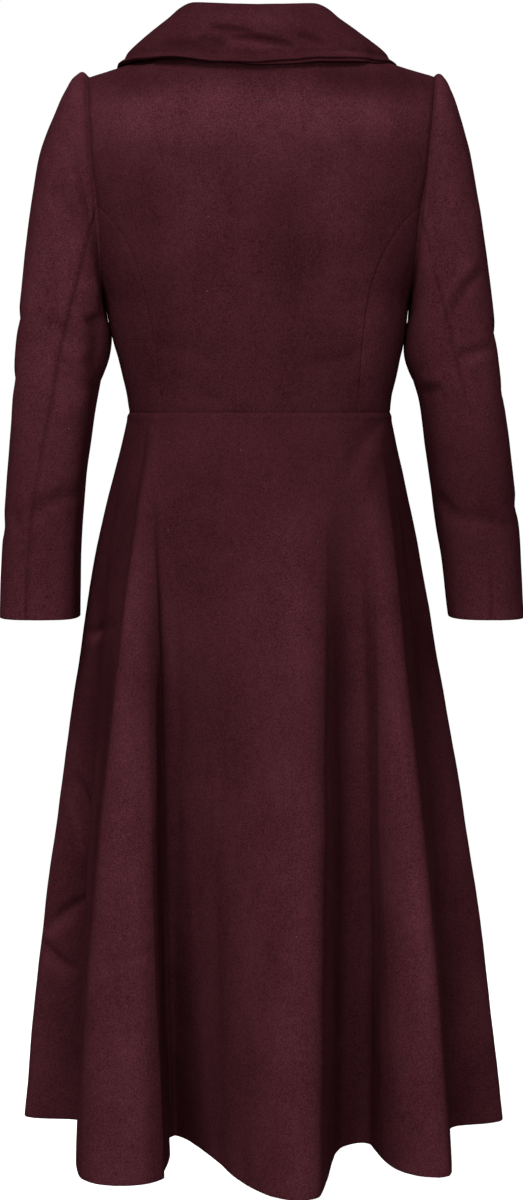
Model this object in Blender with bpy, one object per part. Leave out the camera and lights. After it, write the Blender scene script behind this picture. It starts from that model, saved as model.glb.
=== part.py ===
"""Fit-and-flare wool coat, hollow as it is worn.

The frame is the wearer's: +X to the right, +Y to the front and +Z up, with the origin between
the neck ends of the shoulder seams, where the shoulders carry the coat.
Every cloth piece is a four-sided patch of one of four surfaces: torso, skirt, sleeve or collar.
"""

import math
from collections import namedtuple

import bmesh
import bpy
from mathutils import Vector

MM = 0.001

# Cloth
CLOTH = 2.5 * MM  # wool coating with its backing
COLLAR_CLOTH = 4.0 * MM  # upper and under collar, sewn together
SEAM = 0.4 * MM  # gap between two sewn pieces, measured along the cloth
BACK, FRONT = -1, 1  # the way that each half of the body faces along Y
LEFT, RIGHT = -1, 1  # the wearer's sides along X

# Levels, in millimetres as in the tables
NECK_POINT, NAPE, FRONT_NECK = 0, 6, -75
SHOULDER, UNDERARM, WAIST, HEM = -38, -276, -399, -1188
NECK_POINT_Z, NAPE_Z, FRONT_NECK_Z = NECK_POINT * MM, NAPE * MM, FRONT_NECK * MM
SHOULDER_Z, UNDERARM_Z, WAIST_Z, HEM_Z = SHOULDER * MM, UNDERARM * MM, WAIST * MM, HEM * MM

# Armhole, from the line of the side seam
ARMHOLE_DEPTH = {BACK: 60 * MM, FRONT: 66 * MM}
ARMHOLE_SQUARENESS = 2.3

# Front overlap
LAP_FOLDS = 0.25  # each front runs this share of a skirt fold past the centre
LAP_FADE = 80 * MM  # the upper front comes down to the body's surface here
LAP_LIFT = CLOTH + 1.2 * MM
LAP_MARGIN = 16 * MM  # the lift is full this far past the lower front's edge

# Depth of the body behind and before its side seams
SQUARENESS = 2.2  # power of the rounded body section: 2 is an ellipse
BodyDepth = namedtuple("BodyDepth", "z back front")
BODY_DEPTHS = [
    BodyDepth(12, 61, 34),  # above the nape
    BodyDepth(NECK_POINT, 66, 40),
    BodyDepth(SHOULDER, 93, 69),
    BodyDepth(-100, 112, 98),
    BodyDepth(-165, 120, 120),  # shoulder blades
    BodyDepth(-235, 119, 136),  # bust
    BodyDepth(UNDERARM, 115, 135),
    BodyDepth(-310, 110, 129),
    BodyDepth(-353, 103, 118),
    BodyDepth(WAIST, 98, 107),
    BodyDepth(-440, 113, 119),
    BodyDepth(-528, 136, 139),  # hip
    BodyDepth(-660, 153, 154),
    BodyDepth(-816, 162, 163),
    BodyDepth(-1000, 168, 169),
    BodyDepth(HEM, 171, 173),
]

# Half width of the body from side seam to side seam
BodyWidth = namedtuple("BodyWidth", "z half")
BODY_WIDTHS = [
    BodyWidth(UNDERARM, 166),
    BodyWidth(-310, 161),
    BodyWidth(-353, 151),
    BodyWidth(WAIST, 142.5),
    BodyWidth(-440, 152),
    BodyWidth(-528, 174),
    BodyWidth(-660, 197),
    BodyWidth(-816, 222),
    BodyWidth(-1000, 248),
    BodyWidth(HEM, 268),
]

# How far the middle of the body lies to the right
BodyLean = namedtuple("BodyLean", "z x")
BODY_LEANS = [
    BodyLean(NAPE, 0),
    BodyLean(SHOULDER, 0),
    BodyLean(UNDERARM, -5),
    BodyLean(-353, -2),
    BodyLean(WAIST, -2),
    BodyLean(-528, -5),
    BodyLean(-660, -4.5),
    BodyLean(-816, -2),
    BodyLean(HEM, 0),
]

# Shoulder seam, from the armhole up to the neck
SeamLevel = namedtuple("SeamLevel", "z x")
SHOULDER_SEAM = [
    SeamLevel(SHOULDER, 186),
    SeamLevel(-31, 151),
    SeamLevel(-16, 112),
    SeamLevel(NECK_POINT, 78),
]
SHOULDER_HALF, NECK_HALF = SHOULDER_SEAM[0].x * MM, SHOULDER_SEAM[-1].x * MM

# Back princess seam, from the waist up to the armhole
PRINCESS_SEAM = [
    SeamLevel(WAIST, 104),
    SeamLevel(-350, 107.5),
    SeamLevel(-300, 114),
    SeamLevel(-255, 123.5),
    SeamLevel(-222, 138),
    SeamLevel(-200, 153),
    SeamLevel(-182, 170),
]
PRINCESS_TOP_Z = PRINCESS_SEAM[-1].z * MM

# One row for each crest and valley of the skirt, going round from the wearer's left over the back.
# waist_deg is where its line leaves the waist seam: 0 is the centre back and 180 the centre front.
# x, y is its place at the hem. heading_deg is the way the hem runs there, from +X towards +Y,
# and breadth_in and breadth_out say how far it keeps that way before and after.
# start is the share of the skirt's length above which the fold has not begun.
Fold = namedtuple("Fold", "name waist_deg x y heading_deg breadth_in breadth_out start")
FOLDS = [
    Fold("left side crest", -96, -267, 10, -90, 120, 50, 0.00),
    Fold("left side valley", -72, -204, -20, -78, 45, 220, 0.00),
    Fold("left back crest", -49, -149, -230, 0, 205, 240, 0.00),
    Fold("left back valley", -28, -96, -64, -12, 45, 92, 0.06),
    Fold("centre back crest", 14, 38, -276, 0, 195, 150, 0.10),
    Fold("right back valley", 33, 114, -96, 0, 190, 30, 0.06),
    Fold("right back crest", 46, 184, -204, 5, 170, 80, 0.00),
    Fold("right side valley", 70, 207, -44, 80, 225, 45, 0.00),
    Fold("right side crest", 95, 270, -4, 90, 60, 120, 0.00),
    Fold("right front outer valley", 112, 205, 72, 115, 50, 180, 0.05),
    Fold("right front crest", 130, 163, 206, 172, 150, 140, 0.05),
    Fold("right front valley", 146, 100, 124, 180, 60, 70, 0.10),
    Fold("centre front crest", 180, 4, 222, 180, 190, 190, 0.10),
    Fold("left front valley", 213, -94, 128, 180, 70, 60, 0.10),
    Fold("left front crest", 229, -158, 214, 188, 140, 150, 0.05),
    Fold("left front outer valley", 247, -206, 82, 248, 180, 50, 0.05),
]
FOLD_SOFTNESS = 0.06  # how gently each fold opens below its start
SKIRT_SEAM_DEG = {LEFT: -44.0, RIGHT: 46.0}  # waist ends of the back skirt seams
SIDE_SEAM_DEG = {LEFT: -98.0, RIGHT: 97.0}

# One row for each cross-section of a sleeve, from the armhole to the cuff. The outer and inner
# points are seen from behind. back and front are the depths from the line between those points,
# and seam is the back seam's share of the way along it.
SleeveStation = namedtuple("SleeveStation", "outer_x outer_z inner_x inner_z back front seam")
SLEEVE_STATIONS = {
    LEFT: [
        SleeveStation(186, SHOULDER, 171, UNDERARM, 60, 66, 0.635),  # armhole
        SleeveStation(195, -34, 171.3, -280, 63, 67, 0.67),  # crown of the gathered head
        SleeveStation(206, -45, 170.4, -285, 66, 68, 0.683),
        SleeveStation(222, -77, 169.4, -291, 68, 69, 0.689),
        SleeveStation(237, -116, 167.8, -300, 69, 69, 0.678),
        SleeveStation(249, -180, 165.5, -312, 69, 69, 0.633),
        SleeveStation(258, -245, 167, -331, 68, 67, 0.586),
        SleeveStation(265, -310, 174, -359, 66, 63, 0.552),
        SleeveStation(271, -386, 181, -391, 64, 58, 0.525),  # elbow
        SleeveStation(278, -473, 192, -473, 60, 56, 0.43),
        SleeveStation(285, -561, 199, -561, 56, 55, 0.38),
        SleeveStation(287, -623, 200, -623, 53, 55, 0.37),  # cuff
    ],
    RIGHT: [
        SleeveStation(186, SHOULDER, 161, UNDERARM, 60, 66, 0.665),
        SleeveStation(191, -36, 161.6, -281, 63, 67, 0.68),
        SleeveStation(200, -46, 161, -286, 66, 68, 0.689),
        SleeveStation(213, -78, 160.4, -292, 68, 69, 0.689),
        SleeveStation(224, -116, 159.6, -301, 69, 69, 0.672),
        SleeveStation(236, -180, 158, -314, 69, 69, 0.627),
        SleeveStation(246, -245, 158, -333, 68, 67, 0.574),
        SleeveStation(254, -310, 164, -359, 66, 63, 0.533),
        SleeveStation(263, -386, 173, -391, 64, 58, 0.488),
        SleeveStation(276, -473, 184, -473, 60, 56, 0.43),
        SleeveStation(284, -561, 198, -561, 56, 55, 0.449),
        SleeveStation(288, -623, 206, -623, 53, 55, 0.485),
    ],
}
# Front seam round the section: 0 is the outer line, 90 the back and 180 the inner line
FRONT_SEAM_ARMHOLE_DEG, FRONT_SEAM_CUFF_DEG = -112, -104

# One row for each section of the collar, from the centre back to the front end.
# turn_deg goes round the neckline: 0 is the centre back, 90 the shoulder, 180 the centre front.
CollarStation = namedtuple("CollarStation", "turn_deg roll_x roll_y roll_z edge_x edge_y edge_z")
COLLAR_STATIONS = [
    CollarStation(0, 0, -70, 28.5, 0, -102, -36),
    CollarStation(30, 40, -66, 29.5, 62, -97, -34),
    CollarStation(60, 68, -44, 32.5, 116, -78, -29),
    CollarStation(90, 76, -2, 32, 151, -16, -24),
    CollarStation(105, 75, 26, 20, 154, 23, -24.5),
    CollarStation(120, 70, 52, 3, 148, 65, -43),
    CollarStation(145, 50, 77, -24, 116, 94, -98),
    CollarStation(165, 23, 91, -46, 78, 113, -138),
    CollarStation(177, 7, 97, -57, 32, 125, -148),
]
ROLL_LEAN, EDGE_LEAN = -8 * MM, -5 * MM  # the collar lies a little to the wearer's left
ROLL_RADIUS = 6.5 * MM  # outside of the collar's turned top
FALL_BULGE = 1.5 * MM  # how far the fall arches between roll and edge
STAND_SHARE, ROLL_SHARE = 0.25, 0.3  # shares of the strip's length given to stand and roll

# Front buttons
BUTTON_LEVELS = [z * MM for z in (-172, -238, -304, -370)]
BUTTON_RADIUS = 13 * MM
BUTTON_HEIGHT = 4.5 * MM
BUTTON_RIM = 1.2 * MM
BUTTON_LIFT = 0.8 * MM  # gap to the cloth under the middle
BUTTON_SIDES = 22

# Mesh divisions: panels that share a seam share its row count
PRINCESS_ROWS, ARMHOLE_ROWS = 8, 6
SHOULDER_COLUMNS, NECK_COLUMNS = 4, 12
SIDE_BACK_COLUMNS = 7
FRONT_COLUMNS, FRONT_ROWS = 13, 13
SKIRT_ROWS = 11
SKIRT_ROW_BIAS = 1.3  # above 1, the rows lie closer together near the waist
COLUMNS_PER_FOLD = 8
NARROWEST_COLUMN = 0.4  # the columns beside a skirt seam are at least this share of a full one
SLEEVE_ROWS, UPPER_SLEEVE_COLUMNS, UNDER_SLEEVE_COLUMNS = 14, 12, 9
COLLAR_COLUMNS, COLLAR_ROWS = 40, 11
STEP = 1e-3  # size of the differences that give a surface's direction

# Finishes: base colour, roughness and metallic value
Finish = namedtuple("Finish", "colour roughness metallic")
WOOL = Finish((0.050, 0.011, 0.015, 1.0), 0.92, 0.0)
HORN = Finish((0.022, 0.009, 0.010, 1.0), 0.38, 0.0)


def mix(a, b, share):
    return a + (b - a) * share


def fade(share):
    """0 to 1 with a soft start and end."""
    share = min(max(share, 0.0), 1.0)
    return share * share * (3 - 2 * share)


def signed_power(value, power):
    return math.copysign(abs(value) ** power, value)


def hermite(start, end, leave, arrive, share):
    """A point of the cubic from start to end that leaves and arrives with those directions."""
    s2, s3 = share**2, share**3
    return (
        start * (2 * s3 - 3 * s2 + 1)
        + leave * (s3 - 2 * s2 + share)
        + end * (3 * s2 - 2 * s3)
        + arrive * (s3 - s2)
    )


def smooth(keys, values):
    """A curve through values at rising keys that never swings past them; straight beyond the ends."""
    slopes = [(b - a) / (k - j) for a, b, j, k in zip(values, values[1:], keys, keys[1:])]
    inner = [0.0 if a * b <= 0 else 2 * a * b / (a + b) for a, b in zip(slopes, slopes[1:])]
    tangents = [slopes[0], *inner, slopes[-1]]

    def at(key):
        if key <= keys[0]:
            return values[0] + tangents[0] * (key - keys[0])
        if key >= keys[-1]:
            return values[-1] + tangents[-1] * (key - keys[-1])
        i = next(i for i in range(len(keys) - 1) if key <= keys[i + 1])
        gap = keys[i + 1] - keys[i]
        share = (key - keys[i]) / gap
        return hermite(values[i], values[i + 1], tangents[i] * gap, tangents[i + 1] * gap, share)

    return at


def straight(keys, values):
    """The same with straight lines between the values."""

    def at(key):
        i = max(i for i in range(len(keys) - 1) if i == 0 or keys[i] <= key)
        return mix(values[i], values[i + 1], (key - keys[i]) / (keys[i + 1] - keys[i]))

    return at


def column(rows, key, name, curve=smooth):
    """The curve of one named column of a table over another, with the keys made to rise."""
    ordered = sorted(rows, key=lambda row: getattr(row, key))
    keys = [getattr(row, key) * (MM if key == "z" else 1) for row in ordered]
    return curve(keys, [getattr(row, name) * MM for row in ordered])


# Torso

BODY_WIDTH = column(BODY_WIDTHS, "z", "half")
BODY_DEPTH = {BACK: column(BODY_DEPTHS, "z", "back"), FRONT: column(BODY_DEPTHS, "z", "front")}
BODY_LEAN = column(BODY_LEANS, "z", "x", straight)
PRINCESS_X = column(PRINCESS_SEAM, "z", "x")
SHOULDER_X = column(SHOULDER_SEAM, "z", "x")


def edge_half_width(z):
    """Half width of the body at the side seam, the armhole or the shoulder seam."""
    if z >= NECK_POINT_Z:
        return NECK_HALF
    if z >= SHOULDER_Z:
        return SHOULDER_X(z)
    if z >= UNDERARM_Z:
        return mix(BODY_WIDTH(UNDERARM_Z), SHOULDER_HALF, (z - UNDERARM_Z) / (SHOULDER_Z - UNDERARM_Z))
    return BODY_WIDTH(z)


def armhole_depth(half, z):
    """How far the armhole's edge lies behind or before the side seam; 0 outside the armhole."""
    middle = (SHOULDER_Z + UNDERARM_Z) / 2
    height = abs(z - middle) / ((SHOULDER_Z - UNDERARM_Z) / 2)
    if height >= 1:
        return 0.0
    power = ARMHOLE_SQUARENESS
    return ARMHOLE_DEPTH[half] * (1 - height**power) ** (1 / power)


def ring_half_width(half, z):
    """Half width of the whole body ring, carried on past the armhole's edge into the sleeve."""
    cut = armhole_depth(half, z) / BODY_DEPTH[half](z)
    return edge_half_width(z) / (1 - cut**SQUARENESS) ** (1 / SQUARENESS)


def torso(half, turn, z):
    """A point of the bodice's outside. turn is 0 at the centre and a right angle at the side."""
    power = 2 / SQUARENESS
    x = ring_half_width(half, z) * signed_power(math.sin(turn), power)
    y = half * BODY_DEPTH[half](z) * signed_power(math.cos(turn), power)
    return Vector((x + BODY_LEAN(z), y, z))


def turn_at_x(half, x, z):
    """The turn at a place across the body, measured from the middle of that level."""
    share = min(abs(x) / ring_half_width(half, z), 1.0)
    return math.copysign(math.asin(share ** (SQUARENESS / 2)), x)


def armhole_turn(half, z):
    """The turn at which a row of the bodice meets the armhole, or the side where there is none."""
    return math.acos((armhole_depth(half, z) / BODY_DEPTH[half](z)) ** (SQUARENESS / 2))


def back_neck_z(turn):
    return NECK_POINT_Z + (NAPE_Z - NECK_POINT_Z) * math.cos(turn) ** 2


def front_neck_z(x):
    return mix(NECK_POINT_Z, FRONT_NECK_Z, math.sqrt(max(1 - (x / NECK_HALF) ** 2, 0.0)))


# Skirt


def body_ring(deg, z):
    """A point of the plain body ring below the waist, without folds."""
    power = 2 / SQUARENESS
    turn = math.radians(deg)
    half = BACK if math.cos(turn) > 0 else FRONT
    x = BODY_WIDTH(z) * signed_power(math.sin(turn), power)
    y = half * BODY_DEPTH[half](z) * abs(math.cos(turn)) ** power
    return Vector((x + BODY_LEAN(z), y, z))


def fold_at(index):
    return FOLDS[index % len(FOLDS)]


def fold_turns():
    """waist_deg over the folds' running index and back again, for three rounds."""
    count = len(FOLDS)
    indices = list(range(-count, 2 * count))
    degs = [fold_at(i).waist_deg + 360 * (i // count) for i in indices]
    return smooth(indices, degs), smooth(degs, indices)


WAIST_DEG, FOLD_INDEX = fold_turns()


def hem_point(index):
    """A point of the hem at a running fold index: whole numbers are the crests and valleys."""
    before, after = fold_at(math.floor(index)), fold_at(math.floor(index) + 1)
    leave, arrive = math.radians(before.heading_deg), math.radians(after.heading_deg)
    flat = hermite(
        Vector((before.x, before.y)),
        Vector((after.x, after.y)),
        Vector((math.cos(leave), math.sin(leave))) * before.breadth_out,
        Vector((math.cos(arrive), math.sin(arrive))) * after.breadth_in,
        index - math.floor(index),
    )
    return Vector((flat.x * MM, flat.y * MM, HEM_Z))


def fold_share(index, fall):
    """How far a fold has opened at a share of the skirt's length."""
    low = math.floor(index)
    start = mix(fold_at(low).start, fold_at(low + 1).start, fade(index - low))
    share = max((fall - start) / (1 - start), 0.0)
    return share**2 * (1 + FOLD_SOFTNESS) / (share + FOLD_SOFTNESS)


def skirt(index, fall):
    """A point of the skirt's outside at a fold index and a share of the way from waist to hem."""
    deg = WAIST_DEG(index)
    plain_hem = body_ring(deg, HEM_Z)
    spread = hem_point(index) - plain_hem
    return body_ring(deg, mix(WAIST_Z, HEM_Z, fall)) + spread * fold_share(index, fall)


CENTRE_FRONT = FOLD_INDEX(180)
LAP_HALF = abs(skirt(CENTRE_FRONT + LAP_FOLDS, 0.0).x - BODY_LEAN(WAIST_Z))  # at the waist


# Front overlap


def lapped(surface, face):
    """The surface lifted where the right front lies over the left one."""

    def lifted(p, q):
        point = surface(p, q)
        lift = LAP_LIFT * fade((LAP_FADE - point.x) / (LAP_FADE - LAP_HALF - LAP_MARGIN))
        return point + square_to(surface, p, q) * face * lift

    return lifted


def square_to(surface, p, q):
    """The direction square to a surface; its face is 1 where this points out, -1 where it points in."""
    across = surface(p + STEP, q) - surface(p - STEP, q)
    along = surface(p, q + STEP) - surface(p, q - STEP)
    return across.cross(along).normalized()


# Sleeve


def sleeve_columns(side):
    """The curves of each column of a sleeve's table over the row number."""
    rows = SLEEVE_STATIONS[side]
    units = {name: 1 if name == "seam" else MM for name in SleeveStation._fields}
    return {
        name: smooth(list(range(len(rows))), [getattr(row, name) * unit for row in rows])
        for name, unit in units.items()
    }


SLEEVE_CURVES = {side: sleeve_columns(side) for side in (LEFT, RIGHT)}
CUFF_STATION = len(SLEEVE_STATIONS[LEFT]) - 1
SLEEVE_SQUARENESS = smooth([0, 3, CUFF_STATION], [ARMHOLE_SQUARENESS, 2.6, 2.6])


def sleeve(side, turn, station):
    """A point of a sleeve's outside, turned from its outer line over the back to its inner line."""
    at = {name: curve(station) for name, curve in SLEEVE_CURVES[side].items()}
    power = 2 / SLEEVE_SQUARENESS(station)
    inward = (1 - signed_power(math.cos(turn), power)) / 2
    depth = at["back"] if math.sin(turn) > 0 else at["front"]
    return Vector(
        (
            side * mix(at["outer_x"], at["inner_x"], inward),
            -depth * signed_power(math.sin(turn), power),
            mix(at["outer_z"], at["inner_z"], inward),
        )
    )


def back_seam_turn(side, station):
    """Where the back seam lies round the section, from its share of the way across."""
    across = 1 - 2 * SLEEVE_CURVES[side]["seam"](station)
    return math.acos(signed_power(across, SLEEVE_SQUARENESS(station) / 2))


def front_seam_turn(station):
    return math.radians(mix(FRONT_SEAM_ARMHOLE_DEG, FRONT_SEAM_CUFF_DEG, station / CUFF_STATION))


# Collar

COLLAR_CURVES = {
    name: column(COLLAR_STATIONS, "turn_deg", name)
    for name in CollarStation._fields
    if name != "turn_deg"
}


def collar_station(kind, deg):
    """A point of the roll or of the edge: the table mirrored over the centre back."""
    mirror = -1 if deg < 0 else 1
    x, y, z = (COLLAR_CURVES[f"{kind}_{axis}"](abs(deg)) for axis in "xyz")
    lean = {"roll": ROLL_LEAN, "edge": EDGE_LEAN}[kind] * fade(2 - abs(deg) / 90)
    return Vector((mirror * x + lean, y, z))


def neckline(deg):
    """A point of the bodice's neckline: 0 at the centre back, 90 at the shoulder seam."""
    mirror = -1 if deg < 0 else 1
    deg = abs(deg)
    if deg <= 90:
        turn = math.radians(deg)
        point = torso(BACK, turn, back_neck_z(turn))
    else:
        x = NECK_HALF * math.sin(math.radians(deg))
        z = front_neck_z(x)
        point = torso(FRONT, turn_at_x(FRONT, x, z), z)
    return Vector((mirror * point.x, point.y, point.z))


def collar(deg, share):
    """A point of the upper collar's face: up the stand, over the roll and down the fall."""
    base, crown, edge = neckline(deg), collar_station("roll", deg), collar_station("edge", deg)
    out = Vector((edge.x - base.x, edge.y - base.y, 0)).normalized()
    hub = crown - Vector((0, 0, ROLL_RADIUS))
    foot_gap = mix(2.0, 3.4, (deg / 180) ** 4) * MM  # wider over the fronts' overlap
    stand_foot = base - out * COLLAR_CLOTH * 0.9 + Vector((0, 0, foot_gap))
    stand_top = hub - out * ROLL_RADIUS
    down = edge - hub
    level = math.hypot(down.x, down.y)
    roll_end = math.pi / 2 + math.atan2(-down.z, level)  # where the roll's tangent meets the fall
    if share < STAND_SHARE:
        return stand_foot.lerp(stand_top, share / STAND_SHARE)
    if share < STAND_SHARE + ROLL_SHARE:
        bent = roll_end * (share - STAND_SHARE) / ROLL_SHARE
        return hub - out * math.cos(bent) * ROLL_RADIUS + Vector((0, 0, math.sin(bent) * ROLL_RADIUS))
    turned = hub - out * math.cos(roll_end) * ROLL_RADIUS
    turned.z += math.sin(roll_end) * ROLL_RADIUS
    along = (share - STAND_SHARE - ROLL_SHARE) / (1 - STAND_SHARE - ROLL_SHARE)
    arch = FALL_BULGE * math.sin(math.pi * along)
    return turned.lerp(edge, along) + Vector((out.x * 0.5, out.y * 0.5, 0.8)) * arch


# Patches: a patch takes a share across and a share up, and gives the two numbers of a surface


def coons(bottom, top, left, right):
    """The patch between four edges, each a function of its share that gives a pair of numbers."""

    def corner_mix(i, across, up):
        low = mix(bottom(0.0)[i], bottom(1.0)[i], across)
        high = mix(top(0.0)[i], top(1.0)[i], across)
        return mix(low, high, up)

    def at(across, up):
        return tuple(
            mix(bottom(across)[i], top(across)[i], up)
            + mix(left(up)[i], right(up)[i], across)
            - corner_mix(i, across, up)
            for i in (0, 1)
        )

    return at


def chain(*edges):
    """One edge from several, each a pair of a share of the whole and a function."""

    def at(share):
        start = 0.0
        for length, edge in edges[:-1]:
            if share <= start + length:
                return edge((share - start) / length)
            start += length
        return edges[-1][1](min((share - start) / edges[-1][0], 1.0))

    return at


def seen_flat(half, patch):
    """Turns a patch drawn across and up the body into the turns and levels of the torso."""

    def at(across, up):
        x, z = patch(across, up)
        return turn_at_x(half, x, z), z

    return at


def armhole_level(bottom_z, share):
    """Levels up an armhole, closer together towards the flat top of the shoulder."""
    return mix(bottom_z, SHOULDER_Z, 1 - (1 - share) ** 2)


def bodice_back_patch():
    """The back between the princess seams, armholes, shoulder seams and neckline."""
    rows = PRINCESS_ROWS + ARMHOLE_ROWS
    columns = 2 * SHOULDER_COLUMNS + NECK_COLUMNS

    def seam(share):
        z = mix(WAIST_Z, PRINCESS_TOP_Z, share)
        return PRINCESS_X(z), z

    def armhole(share):
        z = armhole_level(PRINCESS_TOP_Z, share)
        return edge_half_width(z), z

    def shoulder(share):
        z = mix(SHOULDER_Z, NECK_POINT_Z, share)
        return SHOULDER_X(z), z

    def neck(share):
        turn = mix(-math.pi / 2, math.pi / 2, share)
        return NECK_HALF * signed_power(math.sin(turn), 2 / SQUARENESS), back_neck_z(turn)

    def waist(share):
        return mix(-PRINCESS_X(WAIST_Z), PRINCESS_X(WAIST_Z), share), WAIST_Z

    def other_side(edge):
        return lambda share: (-edge(share)[0], edge(share)[1])

    side = chain((PRINCESS_ROWS / rows, seam), (ARMHOLE_ROWS / rows, armhole))
    top = chain(
        (SHOULDER_COLUMNS / columns, other_side(shoulder)),
        (NECK_COLUMNS / columns, neck),
        (SHOULDER_COLUMNS / columns, lambda share: shoulder(1 - share)),
    )
    return seen_flat(BACK, coons(waist, top, other_side(side), side))


def side_back_patch(side):
    """The piece under the arm, from the princess seam to the side seam."""
    waist_turn = turn_at_x(BACK, PRINCESS_X(WAIST_Z), WAIST_Z)

    def princess(up):
        z = mix(WAIST_Z, PRINCESS_TOP_Z, up)
        return side * turn_at_x(BACK, PRINCESS_X(z), z), z

    def side_seam(up):
        return side * math.pi / 2, mix(WAIST_Z, UNDERARM_Z, up)

    def armhole(across):
        z = mix(PRINCESS_TOP_Z, UNDERARM_Z, math.sin(across * math.pi / 2))
        return side * armhole_turn(BACK, z), z

    return coons(
        lambda across: (side * mix(waist_turn, math.pi / 2, across), WAIST_Z),
        armhole,
        princess,
        side_seam,
    )


def front_patch(side):
    """A front, from the side seam to its edge past the centre."""
    side_share = 0.38  # share of the rows below the underarm
    shoulder_share = 0.35  # share of the columns along the shoulder seam
    waist_half = BODY_WIDTH(WAIST_Z)

    def side_seam(up):
        z = mix(WAIST_Z, UNDERARM_Z, up)
        return side * BODY_WIDTH(z), z

    def armhole(up):
        z = armhole_level(UNDERARM_Z, up)
        return side * edge_half_width(z), z

    def shoulder(across):
        z = mix(SHOULDER_Z, NECK_POINT_Z, across)
        return side * SHOULDER_X(z), z

    def neck(across):
        x = NECK_HALF * math.cos(across * (math.pi / 2 + math.asin(LAP_HALF / NECK_HALF)))
        return side * x, front_neck_z(x)

    def centre_edge(up):
        return -side * LAP_HALF, mix(WAIST_Z, front_neck_z(LAP_HALF), up)

    def waist(across):
        turn = across * (math.pi / 2 + math.asin(LAP_HALF / waist_half))
        return side * waist_half * math.cos(turn), WAIST_Z

    return seen_flat(
        FRONT,
        coons(
            waist,
            chain((shoulder_share, shoulder), (1 - shoulder_share, neck)),
            chain((side_share, side_seam), (1 - side_share, armhole)),
            centre_edge,
        ),
    )


def upper_sleeve_patch(side):
    """The piece from the front seam over the outer line to the back seam."""

    def at(across, down):
        station = down * CUFF_STATION
        return mix(front_seam_turn(station), back_seam_turn(side, station), across), station

    return at


def under_sleeve_patch(side):
    """The piece from the back seam round the inner line to the front seam."""

    def at(across, down):
        station = down * CUFF_STATION
        return mix(back_seam_turn(side, station), front_seam_turn(station) + math.tau, across), station

    return at


# Solids


def shares(count):
    return [i / count for i in range(count + 1)]


def trimmed(grid):
    """The grid with its four edges drawn in by half a seam gap, along the cloth."""
    rows = [list(row) for row in grid]

    def draw_in(point, neighbour):
        return point + (neighbour - point).normalized() * (SEAM / 2)

    for row in rows:
        row[0], row[-1] = draw_in(row[0], row[1]), draw_in(row[-1], row[-2])
    rows[0] = [draw_in(a, b) for a, b in zip(rows[0], rows[1])]
    rows[-1] = [draw_in(a, b) for a, b in zip(rows[-1], rows[-2])]
    return rows


def material(name, finish):
    made = bpy.data.materials.get(name) or bpy.data.materials.new(name)
    made.use_nodes = True
    shader = made.node_tree.nodes["Principled BSDF"]
    shader.inputs["Base Color"].default_value = finish.colour
    shader.inputs["Roughness"].default_value = finish.roughness
    shader.inputs["Metallic"].default_value = finish.metallic
    return made


def add_object(name, mesh_data, finish_name, finish):
    """Puts a finished bmesh in the scene as a named object, with its faces pointing out."""
    bmesh.ops.recalc_face_normals(mesh_data, faces=mesh_data.faces)
    mesh = bpy.data.meshes.new(name)
    mesh_data.to_mesh(mesh)
    mesh_data.free()
    mesh.shade_smooth()
    mesh.set_sharp_from_angle(angle=math.radians(45))
    mesh.materials.append(material(finish_name, finish))
    made = bpy.data.objects.new(name, mesh)
    bpy.context.scene.collection.objects.link(made)
    return made


def patch_grid(patch, columns, rows):
    return [[patch(across, up) for across in shares(columns)] for up in shares(rows)]


def cloth_wall(name, surface, face, places, thickness=CLOTH):
    """A cloth piece from a grid of a surface's numbers: its points, those moved in, and a rim."""
    outside = [[surface(*place) for place in row] for row in places]
    inside = [
        [point - square_to(surface, *place) * face * thickness for point, place in zip(points, row)]
        for points, row in zip(outside, places)
    ]
    made = bmesh.new()
    layers = []
    for grid in (outside, inside):
        layers.append([[made.verts.new(point) for point in row] for row in trimmed(grid)])
    for grid in layers:
        for low, high in zip(grid, grid[1:]):
            for i in range(len(low) - 1):
                made.faces.new((low[i], low[i + 1], high[i + 1], high[i]))
    for out_edge, in_edge in zip(grid_edges(layers[0]), grid_edges(layers[1])):
        for i in range(len(out_edge) - 1):
            made.faces.new((out_edge[i], out_edge[i + 1], in_edge[i + 1], in_edge[i]))
    return add_object(name, made, "wool", WOOL)


def grid_edges(grid):
    return [grid[0], grid[-1], [row[0] for row in grid], [row[-1] for row in grid]]


def bodice_back(turn, z):
    return torso(BACK, turn, z)


def bodice_front(turn, z):
    return torso(FRONT, turn, z)


def build_bodice():
    rows, columns = PRINCESS_ROWS + ARMHOLE_ROWS, 2 * SHOULDER_COLUMNS + NECK_COLUMNS
    cloth_wall("bodice_back", bodice_back, 1, patch_grid(bodice_back_patch(), columns, rows))
    over = lapped(bodice_front, -1)
    for side, word, front in ((LEFT, "left", bodice_front), (RIGHT, "right", over)):
        places = patch_grid(side_back_patch(side), SIDE_BACK_COLUMNS, PRINCESS_ROWS)
        cloth_wall(f"bodice_side_back_{word}", bodice_back, 1, places)
        places = patch_grid(front_patch(side), FRONT_COLUMNS, FRONT_ROWS)
        cloth_wall(f"bodice_front_{word}", front, -1, places)


def skirt_grid(first, last):
    """A panel's places between two fold indices, on columns that all panels share."""
    start = math.floor(first * COLUMNS_PER_FOLD + NARROWEST_COLUMN) + 1
    end = math.ceil(last * COLUMNS_PER_FOLD - NARROWEST_COLUMN)
    indices = [first, *(i / COLUMNS_PER_FOLD for i in range(start, end)), last]
    falls = [share**SKIRT_ROW_BIAS for share in shares(SKIRT_ROWS)]
    return [[(index, fall) for index in indices] for fall in falls]


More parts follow.
